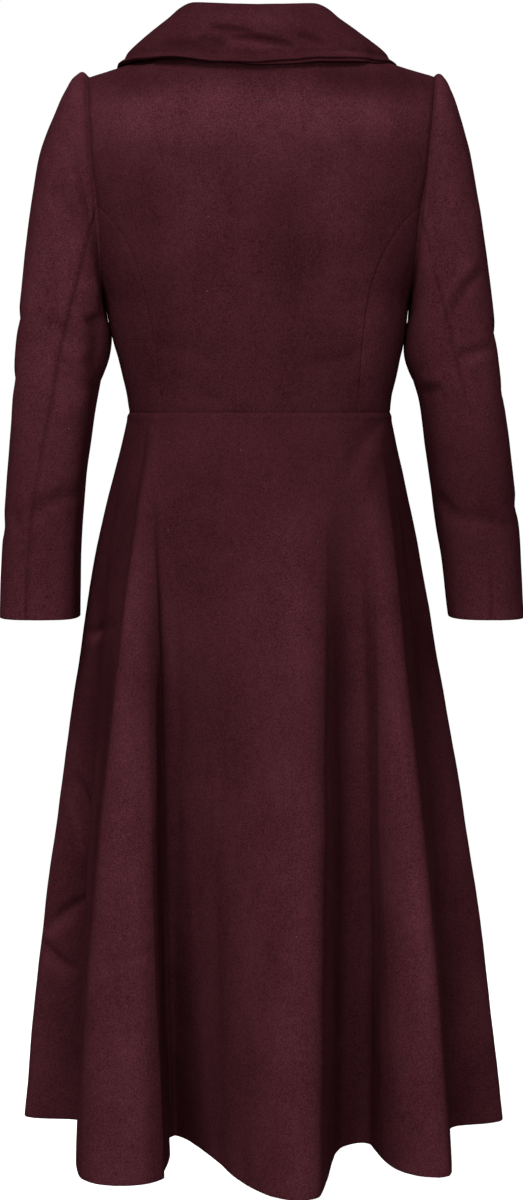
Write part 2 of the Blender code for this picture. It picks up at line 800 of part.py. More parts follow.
def build_skirt():
    round_again = len(FOLDS)
    left_seam, right_seam = (FOLD_INDEX(SKIRT_SEAM_DEG[side]) for side in (LEFT, RIGHT))
    left_side, right_side = (FOLD_INDEX(SIDE_SEAM_DEG[side]) for side in (LEFT, RIGHT))
    left_edge = CENTRE_FRONT - LAP_FOLDS - round_again
    right_edge = CENTRE_FRONT + LAP_FOLDS
    cloth_wall("skirt_back", skirt, -1, skirt_grid(left_seam, right_seam))
    cloth_wall("skirt_side_left", skirt, -1, skirt_grid(left_side, left_seam))
    cloth_wall("skirt_side_right", skirt, -1, skirt_grid(right_seam, right_side))
    cloth_wall("skirt_front_left", skirt, -1, skirt_grid(left_edge, left_side))
    over = lapped(skirt, -1)
    cloth_wall("skirt_front_right", over, -1, skirt_grid(right_side, right_edge))


def build_sleeves():
    for side, word in ((LEFT, "left"), (RIGHT, "right")):

        def surface(turn, station, side=side):
            return sleeve(side, turn, station)

        places = patch_grid(upper_sleeve_patch(side), UPPER_SLEEVE_COLUMNS, SLEEVE_ROWS)
        cloth_wall(f"sleeve_upper_{word}", surface, side, places)
        places = patch_grid(under_sleeve_patch(side), UNDER_SLEEVE_COLUMNS, SLEEVE_ROWS)
        cloth_wall(f"sleeve_under_{word}", surface, side, places)


def build_collar():
    end = COLLAR_STATIONS[-1].turn_deg

    def patch(across, up):
        return mix(-end, end, across), up

    places = patch_grid(patch, COLLAR_COLUMNS, COLLAR_ROWS)
    cloth_wall("collar", collar, -1, places, COLLAR_CLOTH)


def build_buttons():
    """Round buttons on the overlap, each square to the cloth under its middle."""
    over = lapped(bodice_front, -1)
    for number, z in enumerate(BUTTON_LEVELS, start=1):
        facing = -square_to(over, 0.0, z)
        made = bmesh.new()
        bmesh.ops.create_cone(
            made,
            cap_ends=True,
            segments=BUTTON_SIDES,
            radius1=BUTTON_RADIUS,
            radius2=BUTTON_RADIUS,
            depth=BUTTON_HEIGHT,
        )
        rims = [edge for edge in made.edges if abs(edge.verts[0].co.z - edge.verts[1].co.z) < STEP * MM]
        bmesh.ops.bevel(made, geom=rims, offset=BUTTON_RIM, segments=1, affect="EDGES", profile=0.6)
        button = add_object(f"button_{number}", made, "horn", HORN)
        button.rotation_euler = facing.to_track_quat("Z", "Y").to_euler()
        button.location = over(0.0, z) + facing * (BUTTON_HEIGHT / 2 + BUTTON_LIFT)


def main():
    for old in list(bpy.data.objects):
        bpy.data.objects.remove(old)
    build_bodice()
    build_skirt()
    build_sleeves()
    build_collar()
    build_buttons()


main()
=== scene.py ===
import math

import bmesh
import bpy
import numpy as np
from mathutils import Matrix, Vector, kdtree, noise
from mathutils.bvhtree import BVHTree


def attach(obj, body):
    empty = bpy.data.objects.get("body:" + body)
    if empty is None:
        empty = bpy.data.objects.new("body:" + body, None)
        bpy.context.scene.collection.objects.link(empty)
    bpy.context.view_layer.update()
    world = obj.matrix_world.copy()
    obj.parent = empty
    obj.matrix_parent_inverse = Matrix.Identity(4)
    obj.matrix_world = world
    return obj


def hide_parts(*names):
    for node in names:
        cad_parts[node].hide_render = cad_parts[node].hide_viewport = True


# Fitted wool coat with a full skirt: cloth shells with seams and soft folds, horn buttons, plain studio.
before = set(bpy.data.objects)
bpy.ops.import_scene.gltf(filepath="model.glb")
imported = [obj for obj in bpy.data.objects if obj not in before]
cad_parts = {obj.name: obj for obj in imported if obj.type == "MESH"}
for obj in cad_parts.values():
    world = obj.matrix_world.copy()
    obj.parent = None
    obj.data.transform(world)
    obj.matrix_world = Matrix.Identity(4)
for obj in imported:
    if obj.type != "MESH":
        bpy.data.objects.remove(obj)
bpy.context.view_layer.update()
mm = 0.001
bpy.ops.object.select_all(action="DESELECT")
print("frame loaded:", len(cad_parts), "nodes")


# Materials

class Shade:  # a socket in a material; sums on it add Math nodes
    def __init__(self, tree, socket=None):
        self.tree = tree
        self.socket = socket

    def node(self, kind, sockets=None, settings=None, output=0):
        made = self.tree.nodes.new("ShaderNode" + kind)
        for name, value in (settings or {}).items():
            setattr(made, name, value)
        for name, value in (sockets or {}).items():
            if isinstance(value, Shade):
                self.tree.links.new(value.socket, made.inputs[name])
            else:
                made.inputs[name].default_value = value
        return Shade(self.tree, made.outputs[output] if made.outputs else None)

    def math(self, operation, first, second):
        return self.node("Math", {0: first, 1: second}, {"operation": operation})

    def __add__(self, other):
        return self.math("ADD", self, other)

    def __radd__(self, other):
        return self.math("ADD", other, self)

    def __sub__(self, other):
        return self.math("SUBTRACT", self, other)

    def __rsub__(self, other):
        return self.math("SUBTRACT", other, self)

    def __mul__(self, other):
        return self.math("MULTIPLY", self, other)

    def __rmul__(self, other):
        return self.math("MULTIPLY", other, self)


def newMaterial(name):
    material = bpy.data.materials.new(name)
    material.use_nodes = True
    material.node_tree.nodes.clear()
    return material, Shade(material.node_tree)


def grainNoise(start, place, size, detail=2.0, roughness=0.5):  # soft noise with blots of one size
    return start.node("TexNoise", {
        "Vector": place, "Scale": 1 / size, "Detail": detail, "Roughness": roughness})


def blend(start, share, first, second):  # from one colour to another
    return start.node("Mix", {0: share, 6: first, 7: second}, {"data_type": "RGBA"}, output=2)


def finish(start, shader):
    start.node("OutputMaterial", {"Surface": shader})


def finishRelief(start, colour, roughness, height, strength, depth, more=None):  # with a fine relief
    bump = start.node("Bump", {"Height": height, "Strength": strength, "Distance": depth})
    bsdf = start.node("BsdfPrincipled", {
        "Base Color": colour, "Roughness": roughness, "Normal": bump, **(more or {})})
    finish(start, bsdf)


wool = {
    "shadow": (0.0300, 0.0061, 0.0088, 1),
    "light": (0.0914, 0.0240, 0.0323, 1),
    "lint": (0.16, 0.10, 0.105, 1),
    "paintedShadeColour": (0.0112, 0.0025, 0.0034, 1),  # painted shade colour: in the seam grooves, and in the bands and patches of painted shade
    "paintedShadeMost": 0.75,  # greatest share of that colour
    "fibre": 1.3 * mm,  # size of the finest grain
    "napAndPaintedShade": 3.0 * mm,  # width of the brushed streaks
    "mottle": 9 * mm,
    "cloud": 52 * mm,  # patches brushed one way or the other
    "tone": {"fibre": 2.0, "napAndPaintedShade": 0.3, "mottle": 0.35, "cloud": 0.75},  # weights in the colour
    "relief": {"fibre": 0.7, "napAndPaintedShade": 0.5, "mottle": 0.5},  # weights in the bump
    "bump": (0.5, 0.5 * mm),  # strength and depth
    "napScale": (1, 1, 0.33),  # drawn out three times downwards
    "cloudScale": (1, 1, 0.55),
    "lintSpacing": 33 * mm,
    "lintSize": (0.015, 0.028),  # as shares of the spacing: full up to here, none from there
    "lintShare": 0.8,
    "roughness": 0.93,
}


def woolMaterial():
    material, start = newMaterial("burgundyWool")
    place = start.node("TexCoord", output="Object")
    brushed = start.node("Mapping", {"Vector": place, "Scale": wool["napScale"]})
    patchy = start.node("Mapping", {"Vector": place, "Scale": wool["cloudScale"]})
    grains = {
        "fibre": grainNoise(start, place, wool["fibre"], 1.0, 0.6),
        "napAndPaintedShade": grainNoise(start, brushed, wool["napAndPaintedShade"], 2.0, 0.6),
        "mottle": grainNoise(start, place, wool["mottle"], 3.0, 0.55),
        "cloud": grainNoise(start, patchy, wool["cloud"], 2.5, 0.55),
    }
    tone = 0.5
    for grain, weight in wool["tone"].items():
        tone = tone + (grains[grain] - 0.5) * weight
    height = sum(grains[grain] * weight for grain, weight in wool["relief"].items())
    speck = start.node("TexVoronoi", {"Vector": place, "Scale": 1 / wool["lintSpacing"]})
    near, far = wool["lintSize"]
    lint = start.node("MapRange", {
        "Value": speck, "From Min": near, "From Max": far, "To Min": wool["lintShare"], "To Max": 0.0})
    woven = blend(start, tone, wool["shadow"], wool["light"])
    linted = blend(start, lint, woven, wool["lint"])
    # painted shade from the mesh: in the seam grooves, by height and in patches, less where a patch paints
    # light
    shade = start.node("Attribute", settings={"attribute_name": "shade"}, output="Fac")
    colour = blend(start, shade * wool["paintedShadeMost"], linted, wool["paintedShadeColour"])
    finishRelief(start, colour, wool["roughness"], height, *wool["bump"], {"Specular IOR Level": 0.0})
    return material


horn = {
    "dark": (0.012, 0.006, 0.005, 1),
    "pale": (0.085, 0.032, 0.020, 1),
    "streak": 5 * mm,
    "streakRange": (0.42, 0.7),  # the noise between which dark turns to pale
    "fleck": 0.5 * mm,
    "roughness": 0.40,
    "fleckRoughness": 0.14,  # what the flecks add at most
    "bump": (0.12, 0.1 * mm),
}


def hornMaterial():
    material, start = newMaterial("darkHorn")
    place = start.node("TexCoord", output="Object")
    drawn = start.node("Mapping", {
        "Vector": place, "Rotation": (0, 0.5, 0), "Scale": (1, 1, 0.25)})
    streak = grainNoise(start, drawn, horn["streak"], 4.0, 0.62)
    fleck = grainNoise(start, place, horn["fleck"], 2.0)
    low, high = horn["streakRange"]
    share = start.node("MapRange", {"Value": streak, "From Min": low, "From Max": high})
    colour = blend(start, share, horn["dark"], horn["pale"])
    roughness = horn["roughness"] + fleck * horn["fleckRoughness"]
    finishRelief(start, colour, roughness, fleck, *horn["bump"])
    return material


thread = {
    "shade": (0.0070, 0.0014, 0.0020, 1),
    "shine": (0.0280, 0.0062, 0.0086, 1),
    "twist": 0.5 * mm,
    "roughness": 0.72,
    "plyGloss": 0.15,  # what the roughness loses on the plies
    "bump": (0.4, 0.15 * mm),
}


def threadMaterial():
    material, start = newMaterial("burgundyThread")
    place = start.node("TexCoord", output="Object")
    slanted = start.node("Mapping", {"Vector": place, "Rotation": (0.6, 0.6, 0.6)})
    ply = start.node("TexWave", {
        "Vector": slanted, "Scale": 0.3 / thread["twist"], "Distortion": 0.6}, output="Fac")
    colour = blend(start, ply, thread["shade"], thread["shine"])
    finishRelief(start, colour, thread["roughness"] - ply * thread["plyGloss"], ply, *thread["bump"])
    return material


woolCloth = woolMaterial()
hornFinish = hornMaterial()
sewingThread = threadMaterial()
print("materials ready")


cloth = {
    "wall": 2.5 * mm,
    "broadWave": (70 * mm, 0.9 * mm),  # size and height of the slow unevenness
    "smallWave": (24 * mm, 0.28 * mm),
    "corner": (20, 32),  # degrees between which a turn of the cloth becomes a sewn corner
    "endFade": (0.8, 9 * mm),  # share that folds lose at a top or bottom seam, and how far from it
    "seamDip": 0.35 * mm,
    "seamReach": 3.0 * mm,
    "pucker": (11 * mm, 0.35 * mm, 14 * mm),  # size, height, and reach from the seam
    "puckerShift": 0.5,  # keeps the puckers apart from the waves
    "ridgeWidth": 0.55,  # half width of a pressed ridge, as a share of its distance from the seam
    "seamClose": 0.3 * mm,  # the sheets grow towards each other at a seam
    "skirtClose": 1.0 * mm,  # the same at the long seams of the skirt
    "turning": 36 * mm,  # depth of the turned hem, cuffs and front edges
    "turningLift": 1.5 * mm,
    "turningStep": 5 * mm,  # the way over which the turning rises
    "edgeRound": 1.6 * mm,
    "seamRound": 0.7 * mm,
    "lostRound": 0.25,  # share of that rounding where a seam is lost among the folds
    "paintedGrooveShade": (0.2 * mm, 0.8 * mm, 0.75),  # painted shade in the seam grooves: full up to here, none from there, and its full share
    "seamSteps": 8,  # points in each step of a seam, for finding the way to it
}


# Reading a cloth solid: its outer sheet as rows of points, from the top edge down

sleeveLine = {"top": (0.200, -0.150), "cuff": (0.245, -0.620)}  # distance from the middle, and height
reading = {
    "merge": 0.01 * mm,
    "exact": 0.003 * mm,  # an edge this near to the wall's thickness goes through the wall
    "near": 0.05 * mm,  # one this near does where its normals point apart
    "apart": (1.0, 0.9, 0.8, 0.7, 0.6, 0.5, 0.4, 0.3),  # how far apart, tried in turn
}


def outwardFrom(name, point):  # rough direction away from what the piece wraps
    if name == "collar":
        return Vector((0, 0, 1))
    if name.startswith("sleeve"):
        side = 1 if name.endswith("right") else -1
        (topX, topZ), (cuffX, cuffZ) = sleeveLine["top"], sleeveLine["cuff"]
        middle = topX + (cuffX - topX) * (point.z - topZ) / (cuffZ - topZ)
        return Vector((point.x - side * middle, point.y, 0))
    return Vector((point.x, point.y, 0))


def throughWall(edge, wall, apart):  # whether an edge runs from the outer to the inner sheet
    start, end = edge.verts
    along = (end.co - start.co).normalized()
    off = abs(edge.calc_length() - wall)
    pointApart = (end.normal - start.normal).dot(along) > apart
    return off < reading["exact"] or (off < reading["near"] and pointApart)


def islandsOf(faces):  # groups of faces that join across their edges
    left = set(faces)
    islands = []
    while left:
        front = [left.pop()]
        island = set(front)
        while front:
            for edge in front.pop().edges:
                near = {other for other in edge.link_faces if other in left}
                left -= near
                island |= near
                front.extend(near)
        islands.append(island)
    return islands


def outerFaces(name, solid, wall):  # faces of the outer sheet, without the rim and the inner sheet
    def flux(island):
        outward = {face: outwardFrom(name, face.calc_center_median()) for face in island}
        return sum(face.normal.dot(outward[face]) * face.calc_area() for face in island)

    for apart in reading["apart"]:
        rims = {face for edge in solid.edges if throughWall(edge, wall, apart) for face in edge.link_faces}
        sheets = sorted(islandsOf(set(solid.faces) - rims), key=len)[-2:]
        corners = [{vert for face in sheet for vert in face.verts} for sheet in sheets]
        if len(sheets) == 2 and all(len(found) == len(solid.verts) / 2 for found in corners):
            return max(sheets, key=flux)
    raise ValueError(name + " is not a wall with two sheets")


def boundaryLoop(faces):  # the sheet's edge as a ring of vertices
    following = {}
    for face in faces:
        for loop in face.loops:
            inside = [other for other in loop.edge.link_faces if other in faces]
            if len(inside) == 1:
                following[loop.vert] = loop.link_loop_next.vert
    first = next(iter(following))
    ring = [first]
    for _ in range(len(following) - 1):
        ring.append(following[ring[-1]])
    return ring


def sheetRows(name, wall):
    solid = bmesh.new()
    solid.from_mesh(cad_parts[name].data)
    bmesh.ops.remove_doubles(solid, verts=solid.verts, dist=reading["merge"])
    solid.normal_update()
    faces = outerFaces(name, solid, wall)
    neighbours = {}
    corner = {}
    for face in faces:
        for loop in face.loops:
            corner[loop.vert] = corner.get(loop.vert, 0) + loop.calc_angle()
            for other in (loop.link_loop_next.vert, loop.link_loop_prev.vert):
                neighbours.setdefault(loop.vert, set()).add(other)
    ring = boundaryLoop(faces)
    half, cells = len(ring) // 2, len(faces) // 2
    longSide = round((half + math.sqrt(half**2 - 4 * cells)) / 2)
    steps = (0, longSide, half, half + longSide)
    ringAt = [ring[k % len(ring)] for k in range(3 * len(ring))]
    shift = min(range(len(ring)), key=lambda k: sum(corner[ringAt[k + step]] for step in steps))
    turns = [shift + step for step in (*steps, 2 * half)]
    sides = [ringAt[start:end + 1] for start, end in zip(turns, turns[1:])]
    heights = [sum(vert.co.z for vert in side) / len(side) for side in sides]
    top = heights.index(max(heights))
    rows = [sides[top]]
    edge = sides[top - 1][::-1]
    used = set(rows[0]) | set(edge)
    for start in edge[1:]:
        row = [start]
        for above in rows[-1][1:]:
            found = ((neighbours[row[-1]] & neighbours[above]) - used).pop()
            row.append(found)
            used.add(found)
        rows.append(row)
    points = np.array([[vert.co[:] for vert in row] for row in rows])
    normals = sheetNormals(points)
    outward = sum(Vector(normal).dot(outwardFrom(name, Vector(point)))
                  for point, normal in zip(points.reshape(-1, 3), normals.reshape(-1, 3)))
    solid.free()
    return points if outward > 0 else points[:, ::-1]


def sheetNormals(points):
    across = np.gradient(points, axis=1)
    down = np.gradient(points, axis=0)
    normals = np.cross(across, down)
    return normals / np.linalg.norm(normals, axis=2, keepdims=True)


def finer(points, parts, sharp):  # smooth curves down the columns, with parts steps in each cell
    steps = np.diff(points, axis=0)
    lengths = np.linalg.norm(steps, axis=2, keepdims=True)
    slopes = steps / lengths
    before, after = lengths[:-1], lengths[1:]
    middle = (slopes[:-1] * after + slopes[1:] * before) / (before + after)
    turn = np.degrees(np.arccos(np.clip(np.sum(slopes[:-1] * slopes[1:], axis=2, keepdims=True), -1, 1)))
    low, high = cloth["corner"]
    kink = np.clip((turn - low) / (high - low), 0, 1) * sharp  # a sewn corner stays a corner
    arrive = middle * (1 - kink) + slopes[:-1] * kink
    leave = middle * (1 - kink) + slopes[1:] * kink
    first = (3 * slopes[:1] - arrive[:1]) / 2
    last = (3 * slopes[-1:] - leave[-1:]) / 2
    starts = np.concatenate([first, leave]) * lengths
    ends = np.concatenate([arrive, last]) * lengths
    made = []
    for k in range(parts):
        u = k / parts
        made.append(
            points[:-1] * (2 * u**3 - 3 * u**2 + 1) + points[1:] * (3 * u**2 - 2 * u**3)
            + starts * (u**3 - 2 * u**2 + u) + ends * (u**3 - u**2))
    woven = np.stack(made, axis=1).reshape(-1, *points.shape[1:])
    return np.concatenate([woven, points[-1:]])


def finerSheet(points, columnParts, rowParts, sharp=0.0):
    points = finer(points, rowParts, sharp)
    return np.swapaxes(finer(np.swapaxes(points, 0, 1), columnParts, sharp), 0, 1)


# Seams: height in mm, and how far a seam shows there; those of the skirt are lost among the folds lower down

plainSeam = ((0, 1),)
skirtSeam = ((-640, 0), (-470, 1))


# Soft folds, given in millimetres on the side they are seen from

foldSides = {
    "back": (0, (0, -1, 0)),
    "front": (0, (0, 1, 0)),
    "left": (1, (-1, 0, 0)),
    "right": (1, (1, 0, 0)),
}
foldFacing = (0.1, 0.5)  # a fold fades out where the cloth turns away from its side
foldEnds = 0.6  # the lower, the blunter a fold ends

# side, start and end as (across, height), bow to one side, half width, height (a trough is below 0), lean
bodiceFolds = [
    ("back", (40, -350), (116, -329), -5, 9, -1.3, 0.2),
    ("back", (-120, -327), (-33, -357), 6, 10, -1.2, -0.2),
    ("back", (-136, -150), (-112, -240), 7, 17, -2.0, 0.3),
    ("back", (108, -155), (86, -255), -6, 16, -1.8, -0.3),
    ("back", (-78, -235), (-12, -326), 8, 19, -1.6, 0.1),
    ("back", (74, -218), (28, -316), -7, 17, -1.4, 0),
    ("back", (-150, -104), (-40, -131), 5, 15, 1.4, 0.2),
    ("back", (146, -100), (52, -124), -6, 14, 1.2, -0.2),
    ("front", (52, -196), (104, -262), 7, 15, -2.0, 0.2),
    ("front", (-48, -200), (-110, -256), -8, 16, -1.9, -0.2),
    ("front", (36, -330), (112, -352), 5, 11, -1.4, 0.1),
    ("front", (-40, -342), (-106, -326), -6, 12, -1.3, 0.3),
    ("front", (-120, -118), (-84, -176), 5, 13, 1.4, 0),
    ("front", (118, -124), (90, -186), -6, 12, 1.3, 0),
]
sleeveLeftFolds = [
    ("back", (-205, -112), (-177, -205), 5, 8, -4.5, 0.3),
    ("back", (-222, -158), (-196, -222), 4, 8, -3.9, 0.2),
    ("back", (-214, -118), (-188, -208), 5, 8, 2.7, -0.2),
    ("back", (-192, -262), (-165, -292), 6, 11, 3.9, 0.2),
    ("back", (-190, -303), (-164, -288), -5, 6, -4.8, 0.4),
    ("back", (-174, -296), (-181, -362), 4, 9, -3.9, 0.3),
    ("back", (-228, -302), (-198, -341), 5, 9, -3.3, -0.2),
    ("back", (-180, -380), (-216, -410), -5, 12, 2.0, 0),
    ("back", (-214, -318), (-180, -362), -6, 11, 2.1, 0.1),
    ("back", (-190, -290), (-212, -640), 0, 12, 4.2, 0),
    ("back", (-206, -236), (-194, -345), 0, 16, 3.6, 0),
    ("back", (-188, -486), (-250, -521), -9, 7, -3.3, 0.5),
    ("back", (-200, -478), (-262, -508), -8, 12, 2.2, 0),
    ("back", (-271, -500), (-262, -530), 2, 6, -2.4, 0),
    ("front", (-206, -128), (-176, -216), 6, 10, -3.9, 0.2),
    ("front", (-188, -276), (-232, -318), -6, 10, -3.6, 0.2),
    ("front", (-182, -330), (-238, -352), 6, 9, -3.0, -0.2),
    ("front", (-196, -470), (-252, -500), -7, 9, -2.8, 0.3),
    ("left", (-40, -290), (34, -330), 6, 10, -3.3, 0.2),
    ("left", (-36, -352), (30, -376), -6, 9, -2.7, 0.1),
    ("left", (34, -500), (-30, -528), 6, 9, -2.8, 0.3),
    ("right", (6, -300), (0, -362), 0, 34, 3.0, 0),
]
sleeveRightFolds = [
    ("back", (192, -304), (226, -240), 6, 8, 3.3, 0.3),
    ("back", (202, -306), (236, -246), 5, 7, -3.0, -0.2),
    ("back", (206, -336), (250, -327), -3, 6, -3.6, 0.4),
    ("back", (219, -360), (248, -337), 4, 7, 2.0, 0),
    ("back", (178, -487), (212, -515), 5, 7, -3.4, 0.4),
    ("back", (196, -510), (270, -522), 4, 7, -2.8, 0.3),
    ("back", (178, -130), (188, -250), -4, 9, -3.9, 0.2),
    ("back", (170, -362), (216, -384), 5, 12, 2.2, 0),
    ("back", (166, -385), (194, -372), 3, 7, -2.4, 0.2),
    ("back", (233, -180), (220, -286), -5, 14, 2.0, 0),
    ("front", (206, -132), (178, -220), -6, 10, -3.8, 0.2),
    ("front", (186, -270), (232, -310), 6, 10, -3.4, -0.2),
    ("front", (184, -332), (240, -350), -6, 9, -3.2, 0.2),
    ("front", (192, -476), (250, -506), 7, 9, -2.7, 0.3),
    ("right", (-38, -300), (34, -326), -6, 10, -3.2, 0.2),
    ("right", (32, -358), (-30, -382), 6, 9, -2.5, 0),
    ("right", (-34, -498), (30, -522), 6, 9, -2.7, 0.2),
    ("left", (6, -300), (0, -362), 0, 34, 3.0, 0),
]
skirtFolds = [
    ("back", (134, -404), (90, -474), -6, 8, -2.4, 0.3),
    ("back", (122, -436), (104, -496), -4, 9, 1.8, 0.1),
    ("back", (-122, -477), (-28, -482), 4, 9, -1.0, 0),
    ("back", (-116, -450), (-112, -1700), 3, 11, 10.0, 0.62),
    ("back", (-94, -470), (-92, -1700), 3, 10, -3.2, 0),
    ("back", (66, -500), (60, -1700), -4, 9, 4.0, 0.62),
    ("back", (122, -470), (128, -1600), 4, 9, 4.2, -0.62),
    ("back", (101, -480), (105, -1600), 4, 15, -5.5, 0.55),
    ("back", (139, -410), (234, -1330), 0, 13, -6.5, -0.5),
    ("back", (124, -420), (217, -1330), 0, 9, 4.2, 0.55),
    ("back", (-123, -400), (-207, -1400), -15, 9, -9.5, 0.75),
    ("back", (-114, -420), (-199, -1400), -15, 8, 3.8, -0.6),
    ("back", (-45, -640), (-47, -900), 3, 4, -0.9, 0),
    ("back", (-53, -820), (-47, -1500), 3, 12, -3.4, 0.5),
    ("back", (-92, -880), (-92, -1600), 0, 14, 4.0, 0),
    ("back", (-194, -642), (-160, -618), -3, 5, -5.0, 0.2),
    ("back", (-244, -976), (-186, -926), 4, 5, -5.0, 0.2),
    ("back", (-208, -795), (-191, -882), 5, 5, -4.2, 0.2),
    ("back", (-247, -986), (-207, -1018), -3, 6, -5.0, 0.2),
    ("back", (-162, -975), (-116, -952), 4, 9, -1.8, 0.2),
    ("back", (-148, -640), (-126, -860), 5, 6, -2.0, 0.3),
    ("back", (60, -900), (84, -1080), 8, 16, -1.4, 0),
    ("front", (-60, -430), (-96, -520), 6, 10, -2.2, 0.2),
    ("front", (70, -424), (104, -500), -6, 10, -2.0, -0.2),
    ("front", (-130, -700), (-104, -820), 6, 12, -1.6, 0),
    ("front", (118, -920), (160, -944), -4, 10, -1.9, 0.2),
    ("front", (-176, -1010), (-128, -984), 4, 10, -1.8, 0.2),
    ("left", (-60, -560), (-20, -640), 5, 11, -1.8, 0.1),
    ("left", (20, -900), (70, -930), -5, 10, -1.8, 0.2),
    ("right", (-50, -540), (-14, -626), 5, 11, -1.8, 0.1),
    ("right", (30, -950), (84, -924), 5, 10, -1.9, 0.2),
]
collarFolds = [
    ("back", (-54, 3), (-6, -5), 2, 4, -4.0, 0.3),
    ("back", (-32, -8), (36, -18), 2, 4, -4.4, 0.3),
    ("back", (-66, -8), (-34, -20), 2, 6, -3.6, 0.2),
    ("back", (38, -6), (64, -15), 2, 6, -3.4, 0.2),
    ("back", (-38, -6), (14, -11), 2, 6, 2.6, 0),
    ("back", (-24, 8), (34, -6), 3, 9, 2.2, 0),
    ("back", (-112, -14), (-40, -26), 3, 7, -3.4, 0.2),
    ("back", (66, -4), (118, -24), 3, 8, 2.6, 0),
    ("back", (-46, 27), (-22, 26), 0, 7, -2.4, 0),
    ("back", (8, 27), (30, 27), 0, 7, -2.0, 0),
    ("front", (-84, -70), (-62, -112), 4, 9, -2.1, 0.2),
    ("front", (86, -78), (60, -116), -4, 9, -1.9, 0.2),
]


# painted shade and light on the back, listed like the folds with a share as the height: painted shade above
# 0, painted light below 0
skirtPaintedPatches = [
    ((-121, -420), (-206, -1400), -15, 6, 0.55, 0.8),
    ((-195, -653), (-165, -631), -3, 5, -0.35, 0),
    ((-218, -814), (-199, -892), 5, 5, -0.3, 0),
    ((-241, -986), (-198, -957), 4, 7, -0.35, 0),
    ((-112, -620), (-112, -1300), 0, 9, 0.16, -0.7),
    ((-120, -620), (-122, -1300), 0, 9, -0.12, 0.7),
    ((150, -520), (218, -1330), 0, 13, 0.45, -0.5),
    ((-130, -410), (-150, -900), 0, 18, -0.15, 0.2),
    ((134, -500), (186, -1100), 0, 12, -0.35, 0.3),
    ((26, -500), (38, -700), 0, 20, -0.25, 0),
]
bodicePaintedPatches = [
    ((50, -54), (164, -64), 0, 17, 0.4, 0),
    ((-156, -62), (-96, -56), 0, 14, 0.3, 0),
    ((-150, -130), (-96, -330), 5, 24, 0.2, 0),
    ((10, -130), (30, -300), 8, 26, 0.2, 0),
    ((-70, -150), (-50, -230), 4, 24, -0.1, 0),
    ((118, -230), (104, -390), 4, 22, -0.45, 0),
    ((64, -150), (84, -230), 4, 20, -0.2, 0),
]
collarPaintedPatches = [
    ((-54, 3), (-6, -5), 2, 2.4, 0.5, 0.3),
    ((-32, -8), (36, -18), 2, 2.6, 0.55, 0.3),
    ((-68, -8), (-32, -21), 2, 3.4, 0.35, 0.2),
    ((36, -5), (68, -16), 2, 3.4, 0.35, 0.2),
    ((-60, 11), (44, 4), 3, 9, -0.25, 0),
    ((-40, -14), (20, -24), 2, 5, -0.35, 0),
    ((-118, -14), (-40, -26), 3, 7, 0.3, 0),
    ((60, -20), (110, -30), 2, 6, -0.25, 0),
]


def foldLift(points, normals, fold):
    side, start, end, bow, halfWidth, height, lean = fold
    axis, facing = foldSides[side]
    start, end = np.array(start) * mm, np.array(end) * mm
    length = np.linalg.norm(end - start)
    along = (end - start) / length
    square = np.array((-along[1], along[0]))
    offset = points[:, :, [axis, 2]] - start
    run = np.clip(offset @ along / length, 0, 1)
    arch = 4 * run * (1 - run)  # 0 at both ends, 1 half way
    away = (offset @ square - bow * mm * arch) / (halfWidth * mm)
    away *= 1 + lean * np.sign(away)  # steeper on one side
    low, high = foldFacing
    seen = np.clip((normals @ np.array(facing) - low) / (high - low), 0, 1)
    return height * mm * arch**foldEnds * np.exp(-away**2) * seen


def waves(points, size, height):
    flat = points.reshape(-1, 3) / size
    values = np.array([noise.noise(Vector(point)) for point in flat])
    return height * values.reshape(points.shape[:2])


def edgeDistances(points):  # how far each point lies from the four sides, along the cloth
    def runs(lines):
        steps = np.linalg.norm(np.diff(lines, axis=0), axis=2)
        return np.concatenate([np.zeros((1, lines.shape[1])), np.cumsum(steps, axis=0)])

    turned = np.swapaxes(points, 0, 1)
    return {
        "top": runs(points),
        "bottom": runs(points[::-1])[::-1],
        "first": runs(turned).T,
        "last": runs(turned[::-1])[::-1].T,
    }


def shapedSheet(points, folds, openSides, ridges, seam):
    normals = sheetNormals(points)
    distances = edgeDistances(points)
    seams = [distances[side] for side in distances if side not in openSides]
    toSeam = np.min(seams, axis=0)
    lift = sum(foldLift(points, normals, fold) for fold in folds)
    lift = lift + waves(points, *cloth["broadWave"]) + waves(points, *cloth["smallWave"])
    ends = [distances[side] for side in ("top", "bottom") if side not in openSides]
    fade, fadeReach = cloth["endFade"]
    lift *= 1 - fade * np.exp(-(np.min(ends, axis=0) / fadeReach)**2)  # other folds lie beyond these seams
    puckerSize, puckerHeight, puckerReach = cloth["pucker"]
    shown = np.interp(points[:, :, 2] / mm, *zip(*seam))
    puckers = waves(points + cloth["puckerShift"], puckerSize, puckerHeight)
    lift += puckers * shown * np.exp(-(toSeam / puckerReach)**2)
    lift -= cloth["seamDip"] * shown * np.exp(-(toSeam / cloth["seamReach"])**2)
    for side, height, reach in ridges:  # seam allowances pressed to this side
        lift += height * np.exp(-((distances[side] - reach) / (cloth["ridgeWidth"] * reach))**2)
    return points + normals * lift[:, :, None]


def closeSeams(points, openSides, sideClose):
    points = points.copy()
    columns = np.swapaxes(points, 0, 1)  # the same points, so that a change here is a change there
    rims = {
        "top": (points, 0, 1, cloth["seamClose"]),
        "bottom": (points, -1, -2, cloth["seamClose"]),
        "first": (columns, 0, 1, sideClose),
        "last": (columns, -1, -2, sideClose),
    }
    for side, (lines, edge, inner, reach) in rims.items():
        if side not in openSides:
            away = lines[edge] - lines[inner]
            lines[edge] += away / np.linalg.norm(away, axis=1, keepdims=True) * reach
    return points


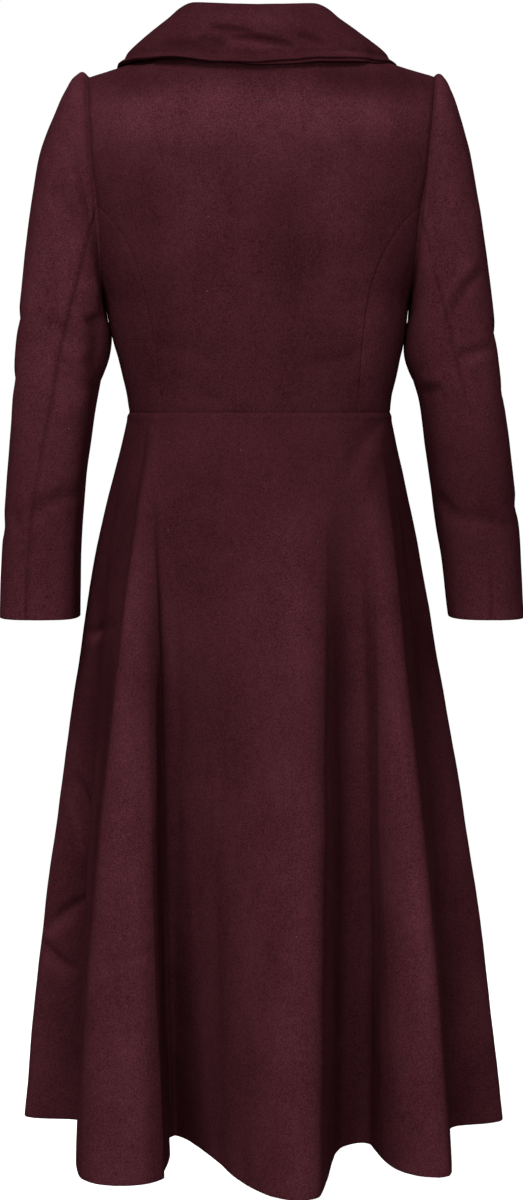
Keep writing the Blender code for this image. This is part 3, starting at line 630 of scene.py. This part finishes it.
def sheetObject(name, points):
    rows, columns = points.shape[:2]
    index = np.arange(rows * columns).reshape(rows, columns)
    quads = np.stack([index[:-1, :-1], index[:-1, 1:], index[1:, 1:], index[1:, :-1]], axis=-1)
    mesh = bpy.data.meshes.new(name)
    mesh.from_pydata(points.reshape(-1, 3).tolist(), [], quads.reshape(-1, 4).tolist())
    piece = bpy.data.objects.new(name, mesh)
    bpy.context.scene.collection.objects.link(piece)
    return piece


def deselect():
    bpy.ops.object.select_all(action="DESELECT")


def applyModifier(piece, kind, **settings):
    modifier = piece.modifiers.new(kind.title(), kind)
    for name, value in settings.items():
        setattr(modifier, name, value)
    bpy.context.view_layer.objects.active = piece
    bpy.ops.object.modifier_apply(modifier=modifier.name)


def sidesOf(grid):
    return {"top": grid[0], "bottom": grid[-1], "first": grid[:, 0], "last": grid[:, -1]}


def turnEdges(piece, points, openSides):  # the wall is thicker along its open edges
    distances = edgeDistances(points)
    toOpen = np.min([distances[side] for side in openSides], axis=0)
    share = np.clip((cloth["turning"] - toOpen) / cloth["turningStep"], 0, 1).reshape(-1)
    normals = sheetNormals(points).reshape(-1, 3)
    places = np.array([vert.co[:] for vert in piece.data.vertices])
    inner = slice(len(normals), 2 * len(normals))
    places[inner] -= normals * (share * cloth["turningLift"])[:, None]
    piece.data.vertices.foreach_set("co", places.reshape(-1).astype(np.float32))


def roundEdges(piece, points, openSides, seam, edgeRound):  # open edges fully, sewn edges less
    count = points.shape[0] * points.shape[1]
    shown = np.interp(points[:, :, 2].reshape(-1) / mm, *zip(*seam))
    kept = cloth["lostRound"] + (1 - cloth["lostRound"]) * shown
    sewn = np.minimum(cloth["seamRound"] / edgeRound * kept, 1.0)
    rimEdges = {}
    for side, line in sidesOf(np.arange(count).reshape(points.shape[:2])).items():
        for a, b in zip(line[:-1].tolist(), line[1:].tolist()):
            weight = 1.0 if side in openSides else sewn[a]
            rimEdges[(min(a, b), max(a, b))] = weight
            rimEdges[(min(a, b) + count, max(a, b) + count)] = weight
    weights = piece.data.attributes.new("bevel_weight_edge", "FLOAT", "EDGE")
    values = [rimEdges.get(tuple(sorted(edge.vertices)), 0.0) for edge in piece.data.edges]
    weights.data.foreach_set("value", values)
    applyModifier(piece, "BEVEL", width=edgeRound, segments=3, limit_method="WEIGHT")


def seamLines(points, openSides):  # the sewn edges of a sheet
    return [line for side, line in sidesOf(points).items() if side not in openSides]


def paintShade(piece, lines, seam, napAndPaintedShade, paintedPatches):  # painted shade in the seam grooves, by height and in patches; patches below 0 paint light
    dense = []
    for line in lines:
        for start, end in zip(line, line[1:]):
            dense += [start + (end - start) * k / cloth["seamSteps"] for k in range(cloth["seamSteps"])]
    tree = kdtree.KDTree(len(dense))
    for k, point in enumerate(dense):
        tree.insert(point, k)
    tree.balance()
    near, far, full = cloth["paintedGrooveShade"]
    distances = np.array([tree.find(vert.co)[2] for vert in piece.data.vertices])
    places = np.array([[vert.co[:] for vert in piece.data.vertices]])
    normals = np.array([[vert.normal[:] for vert in piece.data.vertices]])
    heights = places[0, :, 2] / mm
    shown = np.interp(heights, *zip(*seam))
    grooveShade = full * shown * np.clip((far - distances) / (far - near), 0, 1)
    paintedShadeShare = np.interp(heights, *zip(*napAndPaintedShade))
    for patch in paintedPatches:
        paintedShadeShare += foldLift(places, normals, ("back", *patch))[0] / mm
    shade = piece.data.attributes.new("shade", "FLOAT", "POINT")
    shade.data.foreach_set("value", np.clip(paintedShadeShare, grooveShade, 1))


def withAllowance(points, inward, onward):  # the top edge steps in and goes on behind its neighbour
    stepped = points[0] - sheetNormals(points)[0] * inward
    hidden = stepped + np.array(onward)
    return np.concatenate([[hidden, (stepped + hidden) / 2, stepped], points])


def smooth(piece, angle=60):
    deselect()
    piece.select_set(True)
    bpy.context.view_layer.objects.active = piece
    bpy.ops.object.shade_smooth_by_angle(angle=math.radians(angle))


def dress(piece, material, node=None):
    piece.data.materials.append(material)
    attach(piece, "root")
    if node:
        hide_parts(node)


# Cloth pieces

waistRidge = ("top", 0.7 * mm, 5 * mm)  # where an allowance is pressed: seam, height, and distance from it
armholeRidge = ("top", 0.9 * mm, 8 * mm)
waistAllowance = (2.9 * mm, (0, 0, 9 * mm))  # step in, and the way on behind the neighbour
leftArmhole = (1.0 * mm, (8 * mm, 0, 0))
rightArmhole = (1.0 * mm, (-8 * mm, 0, 0))
# height in mm, and the share of painted shade there: darker where less light falls
bodicePaintedShade = (
    (-400, 0.62), (-355, 0.6), (-282, 0.5), (-179, 0.55), (-127, 0.5),
    (-100, 0.22), (-78, 0.1), (-62, 0.38), (-48, 0.7), (-20, 0.75))
skirtPaintedShade = (
    (-1071, 0.36), (-991, 0.41), (-891, 0.42), (-790, 0.47), (-690, 0.62),
    (-591, 0.6), (-510, 0.7), (-438, 0.77), (-400, 0.75))
leftSleevePaintedShade = (
    (-620, 0.23), (-540, 0.48), (-438, 0.44), (-360, 0.2),
    (-280, 0.14), (-200, 0.23), (-130, 0.36), (-60, 0.3))
rightSleevePaintedShade = (
    (-620, 0.34), (-560, 0.6), (-500, 0.78), (-430, 0.68),
    (-350, 0.36), (-200, 0.3), (-130, 0.36), (-60, 0.34))
sewnPiece = {
    "ridges": (), "allowance": None, "sharp": 0,  # sewn corners stay where sharp is 1
    "seam": plainSeam, "close": cloth["seamClose"], "paintedPatches": ()}


def sleeveKind(folds, allowance, napAndPaintedShade, ridges=()):
    return {**sewnPiece, "folds": folds, "allowance": allowance, "napAndPaintedShade": napAndPaintedShade, "ridges": ridges}


clothKinds = {
    "bodice": {**sewnPiece, "folds": bodiceFolds, "sharp": 1, "napAndPaintedShade": bodicePaintedShade, "paintedPatches": bodicePaintedPatches},
    "skirt": {
        **sewnPiece, "folds": skirtFolds, "ridges": (waistRidge,), "allowance": waistAllowance,
        "seam": skirtSeam, "close": cloth["skirtClose"], "napAndPaintedShade": skirtPaintedShade, "paintedPatches": skirtPaintedPatches},
    "leftUpper": sleeveKind(sleeveLeftFolds, leftArmhole, leftSleevePaintedShade, (armholeRidge,)),
    "rightUpper": sleeveKind(sleeveRightFolds, rightArmhole, rightSleevePaintedShade, (armholeRidge,)),
    "leftUnder": sleeveKind(sleeveLeftFolds, leftArmhole, leftSleevePaintedShade),
    "rightUnder": sleeveKind(sleeveRightFolds, rightArmhole, rightSleevePaintedShade),
}
# kind, steps across and down each cell, open edges, flat cut and its area in metres, what it rests on
clothPieces = {
    "bodice_back": ("bodice", (7, 10), (), (0.46, 0.47), 0.137, ["bodice_front_left", "bodice_front_right"]),
    "bodice_side_back_left": ("bodice", (4, 7), (), (0.13, 0.24), 0.0163, ["bodice_back"]),
    "bodice_side_back_right": ("bodice", (4, 7), (), (0.13, 0.24), 0.0162, ["bodice_back"]),
    "bodice_front_left": ("bodice", (5, 9), ("last",), (0.30, 0.45), 0.0885, ["bodice_back"]),
    "bodice_front_right": ("bodice", (5, 9), ("first",), (0.30, 0.45), 0.0888, ["bodice_back"]),
    "skirt_back": ("skirt", (5, 18), ("bottom",), (0.77, 0.81), 0.36, ["bodice_back"]),
    "skirt_side_left": ("skirt", (5, 18), ("bottom",), (0.38, 0.81), 0.198, ["bodice_side_back_left"]),
    "skirt_side_right": ("skirt", (5, 18), ("bottom",), (0.26, 0.81), 0.151, ["bodice_side_back_right"]),
    "skirt_front_left": ("skirt", (3, 13), ("bottom", "last"), (0.54, 0.81), 0.292, ["bodice_front_left"]),
    "skirt_front_right": ("skirt", (3, 13), ("bottom", "first"), (0.55, 0.81), 0.297, ["bodice_front_right"]),
    "sleeve_upper_left": ("leftUpper", (5, 12), ("bottom",), (0.42, 0.62), 0.116, ["bodice_front_left"]),
    "sleeve_upper_right": ("rightUpper", (5, 12), ("bottom",), (0.42, 0.61), 0.114, ["bodice_front_right"]),
    "sleeve_under_left": ("leftUnder", (4, 12), ("bottom",), (0.22, 0.45), 0.0606, ["sleeve_upper_left"]),
    "sleeve_under_right": ("rightUnder", (4, 12), ("bottom",), (0.22, 0.44), 0.0593, ["sleeve_upper_right"]),
}


def clothPiece(node, row):
    kind, parts, openSides, flat, area, restsOn = row
    cut = clothKinds[kind]
    points = closeSeams(sheetRows(node, cloth["wall"]), openSides, cut["close"])
    points = finerSheet(points, *parts, cut["sharp"])
    points = shapedSheet(points, cut["folds"], openSides, cut["ridges"], cut["seam"])
    lines = seamLines(points, openSides)
    if cut["allowance"]:
        points = withAllowance(points, *cut["allowance"])
    piece = sheetObject(node + "_cloth", points)
    applyModifier(piece, "SOLIDIFY", thickness=cloth["wall"], offset=-1)
    if openSides:
        turnEdges(piece, points, openSides)
    roundEdges(piece, points, openSides, cut["seam"], cloth["edgeRound"])
    paintShade(piece, lines, cut["seam"], cut["napAndPaintedShade"], cut["paintedPatches"])
    smooth(piece)
    dress(piece, woolCloth, node)
    return piece


clothMade = {node: clothPiece(node, row) for node, row in clothPieces.items()}
print("cloth pieces:", len(clothMade))


# Collar: an upper and an under layer, pressed together, the under one showing past the edge on one stretch

collar = {
    "wall": 4 * mm,  # both layers together
    "parts": (6, 8),
    "flat": (0.90, 0.145),
    "area": 0.081,
    "upper": 2.3 * mm,
    "under": 1.6 * mm,
    "layerGap": 0.1 * mm,
    "edgeRound": 0.47,  # as a share of a layer's thickness
    "edgeTrough": (-1.7 * mm, 8.5 * mm, 3.6 * mm),  # depth, distance from the edge, and half width
    "edgeReach": 14 * mm,  # how far from the edge its own shape is felt
    "slip": (60 * mm, 75 * mm, 3.6 * mm),  # where the under layer shows: middle, reach and depth
    "hidden": 0.8 * mm,  # elsewhere the under layer stays back by this
    "allowance": (-1.3 * mm, (0, 0, -7 * mm)),  # its neck edge goes on down inside the neck
    "settle": (3.0 * mm, 60 * mm, 105 * mm),  # at the shoulders the edge sinks by this, from here to there
    "edgeWave": (34 * mm, 1.5 * mm),
    "edgeRises": ((-100, 34, 6.0), (74, 44, 4.5)),  # x, half width and rise of the edge at the back, in mm
    # painted shade by height: height in mm and share
    "napAndPaintedShade": ((-60, 0.7), (-36, 0.85), (-22, 0.75), (5, 0.75), (30, 0.72)),
}
collarOpen = ("bottom", "first", "last")


def collarSheets():
    points = finerSheet(sheetRows("collar", collar["wall"]), *collar["parts"])
    shaped = shapedSheet(points, collarFolds, collarOpen, (), plainSeam)
    normals = sheetNormals(shaped)
    sunk, inner, outer = collar["settle"]
    depth, reach, halfWidth = collar["edgeTrough"]
    toEdge = edgeDistances(points)["bottom"]
    trough = depth * np.exp(-((toEdge - reach) / halfWidth)**2)
    outward = shaped[-1] - shaped[-3]
    outward /= np.linalg.norm(outward, axis=1, keepdims=True)
    nearEdge = np.exp(-(toEdge / collar["edgeReach"])**2)[:, :, None]
    sinking = sunk * np.clip((abs(shaped[-1][:, 0]) - inner) / (outer - inner), 0, 1)
    shaped = shaped - normals * nearEdge * sinking[:, None]
    size, height = collar["edgeWave"]
    wave = np.array([noise.noise(Vector(point) / size) for point in shaped[-1]]) * height
    behind = shaped[-1][:, 1] < 0
    for x, spread, rise in collar["edgeRises"]:
        wave -= behind * rise * mm * np.exp(-((shaped[-1][:, 0] / mm - x) / spread)**2)
    upper = shaped + normals * trough[:, :, None] + outward * wave[:, None] * nearEdge
    middle, width, shown = collar["slip"]
    hidden = collar["hidden"]
    slip = (shown + hidden) * np.exp(-((shaped[-1][:, 0] - middle) / width)**4) - hidden
    slip = np.where(behind, slip, -hidden) + wave
    under = shaped - normals * (collar["upper"] + collar["layerGap"]) + outward * slip[:, None] * nearEdge
    return upper, under


def collarPieces():
    sheets = dict(zip(("upper", "under"), collarSheets()))
    for layer, points in sheets.items():
        lines = seamLines(points, collarOpen)
        points = withAllowance(points, *collar["allowance"])
        piece = sheetObject("collar_" + layer, points)
        applyModifier(piece, "SOLIDIFY", thickness=collar[layer], offset=-1)
        roundEdges(piece, points, collarOpen, plainSeam, collar[layer] * collar["edgeRound"])
        paintShade(piece, lines, plainSeam, collar["napAndPaintedShade"], collarPaintedPatches)
        smooth(piece)
        dress(piece, woolCloth, "collar")


collarPieces()
print("collar ready")


# Buttons: four-hole horn buttons with thread, and stitched buttonholes

button = {
    "radius": 13 * mm,
    "height": 4.5 * mm,
    "rim": 2.4 * mm,
    "dish": 0.9 * mm,  # depth of the middle below the rim
    "round": 0.7 * mm,
    "roundFrom": 15,  # edges sharper than this, in degrees, are rounded
    "hole": 1.15 * mm,  # radius
    "holeApart": 2.3 * mm,  # of each hole from the middle, across and along
    "thread": 0.38 * mm,
    "strandWidth": 0.45,  # as a share of what a round strand would have
    "shank": 2.2 * mm,
    "shankLength": 4 * mm,
    "shankSink": 0.5 * mm,  # into the button
}
buttonhole = {
    "start": -3 * mm,  # from the button's middle
    "end": 27 * mm,
    "stitchLength": 2.6 * mm,
    "stitchWidth": 0.8 * mm,
    "stitchHeight": 0.55 * mm,
    "gap": 0.5 * mm,  # between the two rows of stitches
    "fan": (-75, -50, -25, 0, 25, 50, 75),  # degrees of the stitches round the inner end
    "bar": (-0.7, 0, 0.7),  # stitches across the outer end, as shares of half the width
    "lookFrom": 50 * mm,  # in front of the button, from where the cloth is sought
}


def joined(pieces, name):
    deselect()
    for piece in pieces:
        piece.select_set(True)
    bpy.context.view_layer.objects.active = pieces[0]
    bpy.ops.object.join()
    bpy.context.object.name = name
    return bpy.context.object


def roundTool(radius, depth, x, y):  # a short rod along Z
    bpy.ops.mesh.primitive_cylinder_add(vertices=20, radius=radius, depth=depth, location=(x, y, 0))
    return bpy.context.object


def buttonBody():
    deselect()
    height = button["height"]
    bpy.ops.mesh.primitive_cylinder_add(vertices=56, radius=button["radius"], depth=height)
    body = bpy.context.object
    bpy.ops.object.mode_set(mode="EDIT")
    bpy.ops.mesh.select_all(action="DESELECT")
    bpy.ops.mesh.select_mode(type="FACE")
    bpy.ops.object.mode_set(mode="OBJECT")
    for face in body.data.polygons:
        face.select = face.normal.z > 0.9
    bpy.ops.object.mode_set(mode="EDIT")
    bpy.ops.mesh.inset(thickness=button["rim"])
    bpy.ops.transform.translate(value=(0, 0, -button["dish"]))
    bpy.ops.object.mode_set(mode="OBJECT")
    applyModifier(
        body, "BEVEL", width=button["round"], segments=4, limit_method="ANGLE",
        angle_limit=math.radians(button["roundFrom"]))
    apart = button["holeApart"]
    for x in (-apart, apart):
        for y in (-apart, apart):
            tool = roundTool(button["hole"], 3 * height, x, y)
            applyModifier(body, "BOOLEAN", object=tool, operation="DIFFERENCE", solver="EXACT")
            bpy.data.objects.remove(tool)
    return body


def buttonThread():  # two bars of two strands between the holes, and the shank under the button
    apart = button["holeApart"]
    surface = button["height"] / 2 - button["dish"]
    strands = []
    for y in (-apart, apart):
        for shift in (-button["thread"], button["thread"]):
            bpy.ops.mesh.primitive_torus_add(
                major_radius=apart, minor_radius=button["thread"], major_segments=28, minor_segments=8,
                location=(0, y + shift, surface), rotation=(math.radians(90), 0, 0))
            strand = bpy.context.object
            strand.scale = (1, button["strandWidth"], 1)
            bpy.ops.object.transform_apply(location=True, rotation=True, scale=True)
            strands.append(strand)
    shank = roundTool(button["shank"], button["shankLength"], 0, 0)
    shank.location.z = -button["height"] / 2 - button["shankLength"] / 2 + button["shankSink"]
    deselect()
    shank.select_set(True)
    bpy.ops.object.transform_apply(location=True)
    return joined([*strands, shank], "buttonThread")


def buttonPlace(node):  # turns and moves what is modelled along Z onto the CAD button
    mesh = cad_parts[node].data
    middle = sum((vert.co for vert in mesh.vertices), Vector()) / len(mesh.vertices)
    facing = sum((face.normal * face.area for face in mesh.polygons if face.normal.y > 0.7), Vector())
    return Matrix.Translation(middle) @ facing.to_track_quat("Z", "X").to_matrix().to_4x4()


def copied(model, name, place):  # a copy with its own mesh, its place worked into the mesh
    copy = model.copy()
    copy.data = model.data.copy()
    copy.name = name
    copy.data.transform(place)
    bpy.context.scene.collection.objects.link(copy)
    return copy


def sewButtons():
    body, sewing = buttonBody(), buttonThread()
    for number in range(1, 5):
        node = f"button_{number}"
        place = buttonPlace(node)
        made = copied(body, node + "_horn", place)
        smooth(made, 35)
        dress(made, hornFinish, node)
        strand = copied(sewing, node + "_thread", place)
        smooth(strand, 50)
        dress(strand, sewingThread)
    bpy.data.objects.remove(body)
    bpy.data.objects.remove(sewing)


sewButtons()
print("buttons sewn")


def stitchModel():
    deselect()
    bpy.ops.mesh.primitive_uv_sphere_add(segments=6, ring_count=5, radius=0.5)
    stitch = bpy.context.object
    stitch.scale = (buttonhole["stitchWidth"], buttonhole["stitchLength"], buttonhole["stitchHeight"])
    bpy.ops.object.transform_apply(scale=True)
    return stitch


def stitchPlaces():  # across and along places of one buttonhole, with the turn of each stitch
    half = (buttonhole["gap"] + buttonhole["stitchLength"]) / 2
    start, end = buttonhole["start"], buttonhole["end"]
    count = round((end - start) / buttonhole["stitchWidth"])
    rows = []
    for k in range(count + 1):
        x = start + (end - start) * k / count
        rows += [(x, half, 0.0), (x, -half, 0.0)]
    for degrees in buttonhole["fan"]:
        turn = math.radians(degrees)
        rows.append((end + half * math.cos(turn), half * math.sin(turn), turn + math.radians(90)))
    for share in buttonhole["bar"]:
        rows.append((start - buttonhole["stitchWidth"], half * share, 0.0))
    return rows


def clothSurface(node):  # a cloth piece, ready for finding the points that lie on it
    mesh = clothMade[node].data
    faces = [face.vertices for face in mesh.polygons]
    return BVHTree.FromPolygons([vert.co for vert in mesh.vertices], faces)


def sewButtonholes():
    model = stitchModel()
    surface = clothSurface("bodice_front_right")
    for number in range(1, 5):
        middle = buttonPlace(f"button_{number}").translation
        stitches = []
        for x, z, turn in stitchPlaces():
            above = Vector((middle.x + x, middle.y + buttonhole["lookFrom"], middle.z + z))
            point, normal = surface.ray_cast(above, Vector((0, -1, 0)))[:2]
            across = Vector((1, 0, 0)).cross(normal).normalized()
            lie = Matrix((across.cross(normal), across, normal)).transposed().to_4x4()
            place = Matrix.Translation(point) @ lie @ Matrix.Rotation(turn, 4, "Z")
            stitches.append(copied(model, "stitch", place))
        hole = joined(stitches, f"buttonhole_{number}")
        smooth(hole)
        dress(hole, sewingThread)
    bpy.data.objects.remove(model)


tack = {
    "middle": (4 * mm, -76 * mm),  # across and height, on the back below the collar
    "length": 19 * mm,
    "stitches": 9,
    "wander": 0.8 * mm,
    "waver": 8,  # radians of the wave along the row
    "tilt": 20,  # degrees, at most
    "lookFrom": -0.4,  # behind the back
}


def sewTack():  # a short wavering row of tacking thread
    model = stitchModel()
    surface = clothSurface("bodice_back")
    middleX, middleZ = tack["middle"]
    stitches = []
    for k in range(tack["stitches"]):
        share = k / (tack["stitches"] - 1)
        wave = tack["waver"] * share
        x = middleX + (share - 0.5) * tack["length"]
        z = middleZ + tack["wander"] * math.sin(wave + share**2)
        point = surface.ray_cast(Vector((x, tack["lookFrom"], z)), Vector((0, 1, 0)))[0]
        upright = Matrix.Rotation(math.radians(90), 4, "Y")
        tilt = Matrix.Rotation(math.radians(90 + tack["tilt"] * math.cos(wave)), 4, "X")
        stitches.append(copied(model, "stitch", Matrix.Translation(point) @ (upright @ tilt)))
    row = joined(stitches, "tack_stitches")
    smooth(row)
    dress(row, sewingThread)
    bpy.data.objects.remove(model)


sewButtonholes()
sewTack()
print("buttonholes and tack sewn")


# Studio: a pale floor that fades into a white backdrop, soft light from above

studio = {
    "floorHeight": -1.45,
    "floorRadius": 2.6,
    "floorFade": (0.7, 2.4),  # distances from the middle between which the floor fades out
    "floorColours": ((0.88, 0.88, 0.88, 1), (0.92, 0.92, 0.92, 1)),
    "floorSpeckle": 0.4,
    "backdropRadius": 14,
    "skyLight": 0.32,
    "groundLight": 0.16,
}


def studioFloor():
    bpy.ops.mesh.primitive_circle_add(
        vertices=96, radius=studio["floorRadius"], fill_type="NGON", location=(0, 0, studio["floorHeight"]))
    floor = bpy.context.object
    floor.name = "floor"
    bpy.ops.object.transform_apply(location=True)
    material, start = newMaterial("paleFloor")
    place = start.node("TexCoord", output="Object")
    level = start.node("VectorMath", {0: place, 1: (1, 1, 0)}, {"operation": "MULTIPLY"})
    distance = start.node("VectorMath", {0: level}, {"operation": "LENGTH"}, output="Value")
    near, far = studio["floorFade"]
    solid = start.node("MapRange", {
        "Value": distance, "From Min": near, "From Max": far, "To Min": 1.0, "To Max": 0.0},
        {"interpolation_type": "SMOOTHSTEP"})
    speckle = grainNoise(start, place, studio["floorSpeckle"], 2.0)
    colour = blend(start, speckle, *studio["floorColours"])
    bsdf = start.node("BsdfPrincipled", {"Base Color": colour, "Roughness": 0.9, "Alpha": solid})
    finish(start, bsdf)
    floor.data.materials.append(material)
    floor.visible_diffuse = False  # it shows, but throws no light back onto the coat


def studioBackdrop():  # white for the camera alone, so that it lights nothing
    bpy.ops.mesh.primitive_uv_sphere_add(segments=48, ring_count=24, radius=studio["backdropRadius"])
    backdrop = bpy.context.object
    backdrop.name = "backdrop"
    material, start = newMaterial("whiteBackdrop")
    glow = start.node("Emission", {"Color": (1, 1, 1, 1), "Strength": 1.0})
    finish(start, glow)
    backdrop.data.materials.append(material)
    for ray in ("diffuse", "glossy", "transmission", "volume_scatter", "shadow"):
        setattr(backdrop, "visible_" + ray, False)


def studioWorld():  # brighter above than below
    world = bpy.data.worlds.new("studio")
    bpy.context.scene.world = world
    world.use_nodes = True
    world.node_tree.nodes.clear()
    start = Shade(world.node_tree)
    place = start.node("TexCoord", output="Generated")
    height = start.node("SeparateXYZ", {0: place}, output="Z")
    strength = start.node("MapRange", {
        "Value": height, "From Min": -0.6, "From Max": 0.8,
        "To Min": studio["groundLight"], "To Max": studio["skyLight"]},
        {"interpolation_type": "SMOOTHSTEP"})
    glow = start.node("Background", {"Color": (1, 1, 1, 1), "Strength": strength})
    start.node("OutputWorld", {"Surface": glow})


# name, place, size, power: each light faces one point of the coat
lightAim = (0, 0, -0.45)
lights = [
    ("key", (-1.1, -2.9, 4.0), 2.4, 320),
    ("fillLeft", (-1.2, -3.4, -0.3), 1.6, 36),
    ("fillRight", (1.3, -3.3, 0.1), 1.6, 40),
    ("front", (0.4, 3.6, 1.1), 1.8, 200),
]


def studioLights():
    aim = Vector(lightAim)
    for name, place, size, power in lights:
        lamp = bpy.data.lights.new(name, "AREA")
        lamp.size = size
        lamp.energy = power
        light = bpy.data.objects.new(name, lamp)
        light.location = place
        light.rotation_euler = (aim - Vector(place)).to_track_quat("-Z", "Y").to_euler()
        bpy.context.scene.collection.objects.link(light)


camera = {
    "place": (0, -2.6, -0.3867),
    "tilt": 90 - 4.8,  # degrees up from straight down
    "lens": 71.16,
    "sensor": 36,
}


def photoCamera():
    lens = bpy.data.cameras.new("photoCamera")
    lens.lens = camera["lens"]
    lens.sensor_width = camera["sensor"]
    view = bpy.data.objects.new("photoCamera", lens)
    view.location = camera["place"]
    view.rotation_euler = (math.radians(camera["tilt"]), 0, 0)
    bpy.context.scene.collection.objects.link(view)
    bpy.context.scene.camera = view


studioFloor()
studioBackdrop()
studioWorld()
studioLights()
photoCamera()
bpy.context.scene.view_settings.view_transform = "Standard"
print("studio ready")
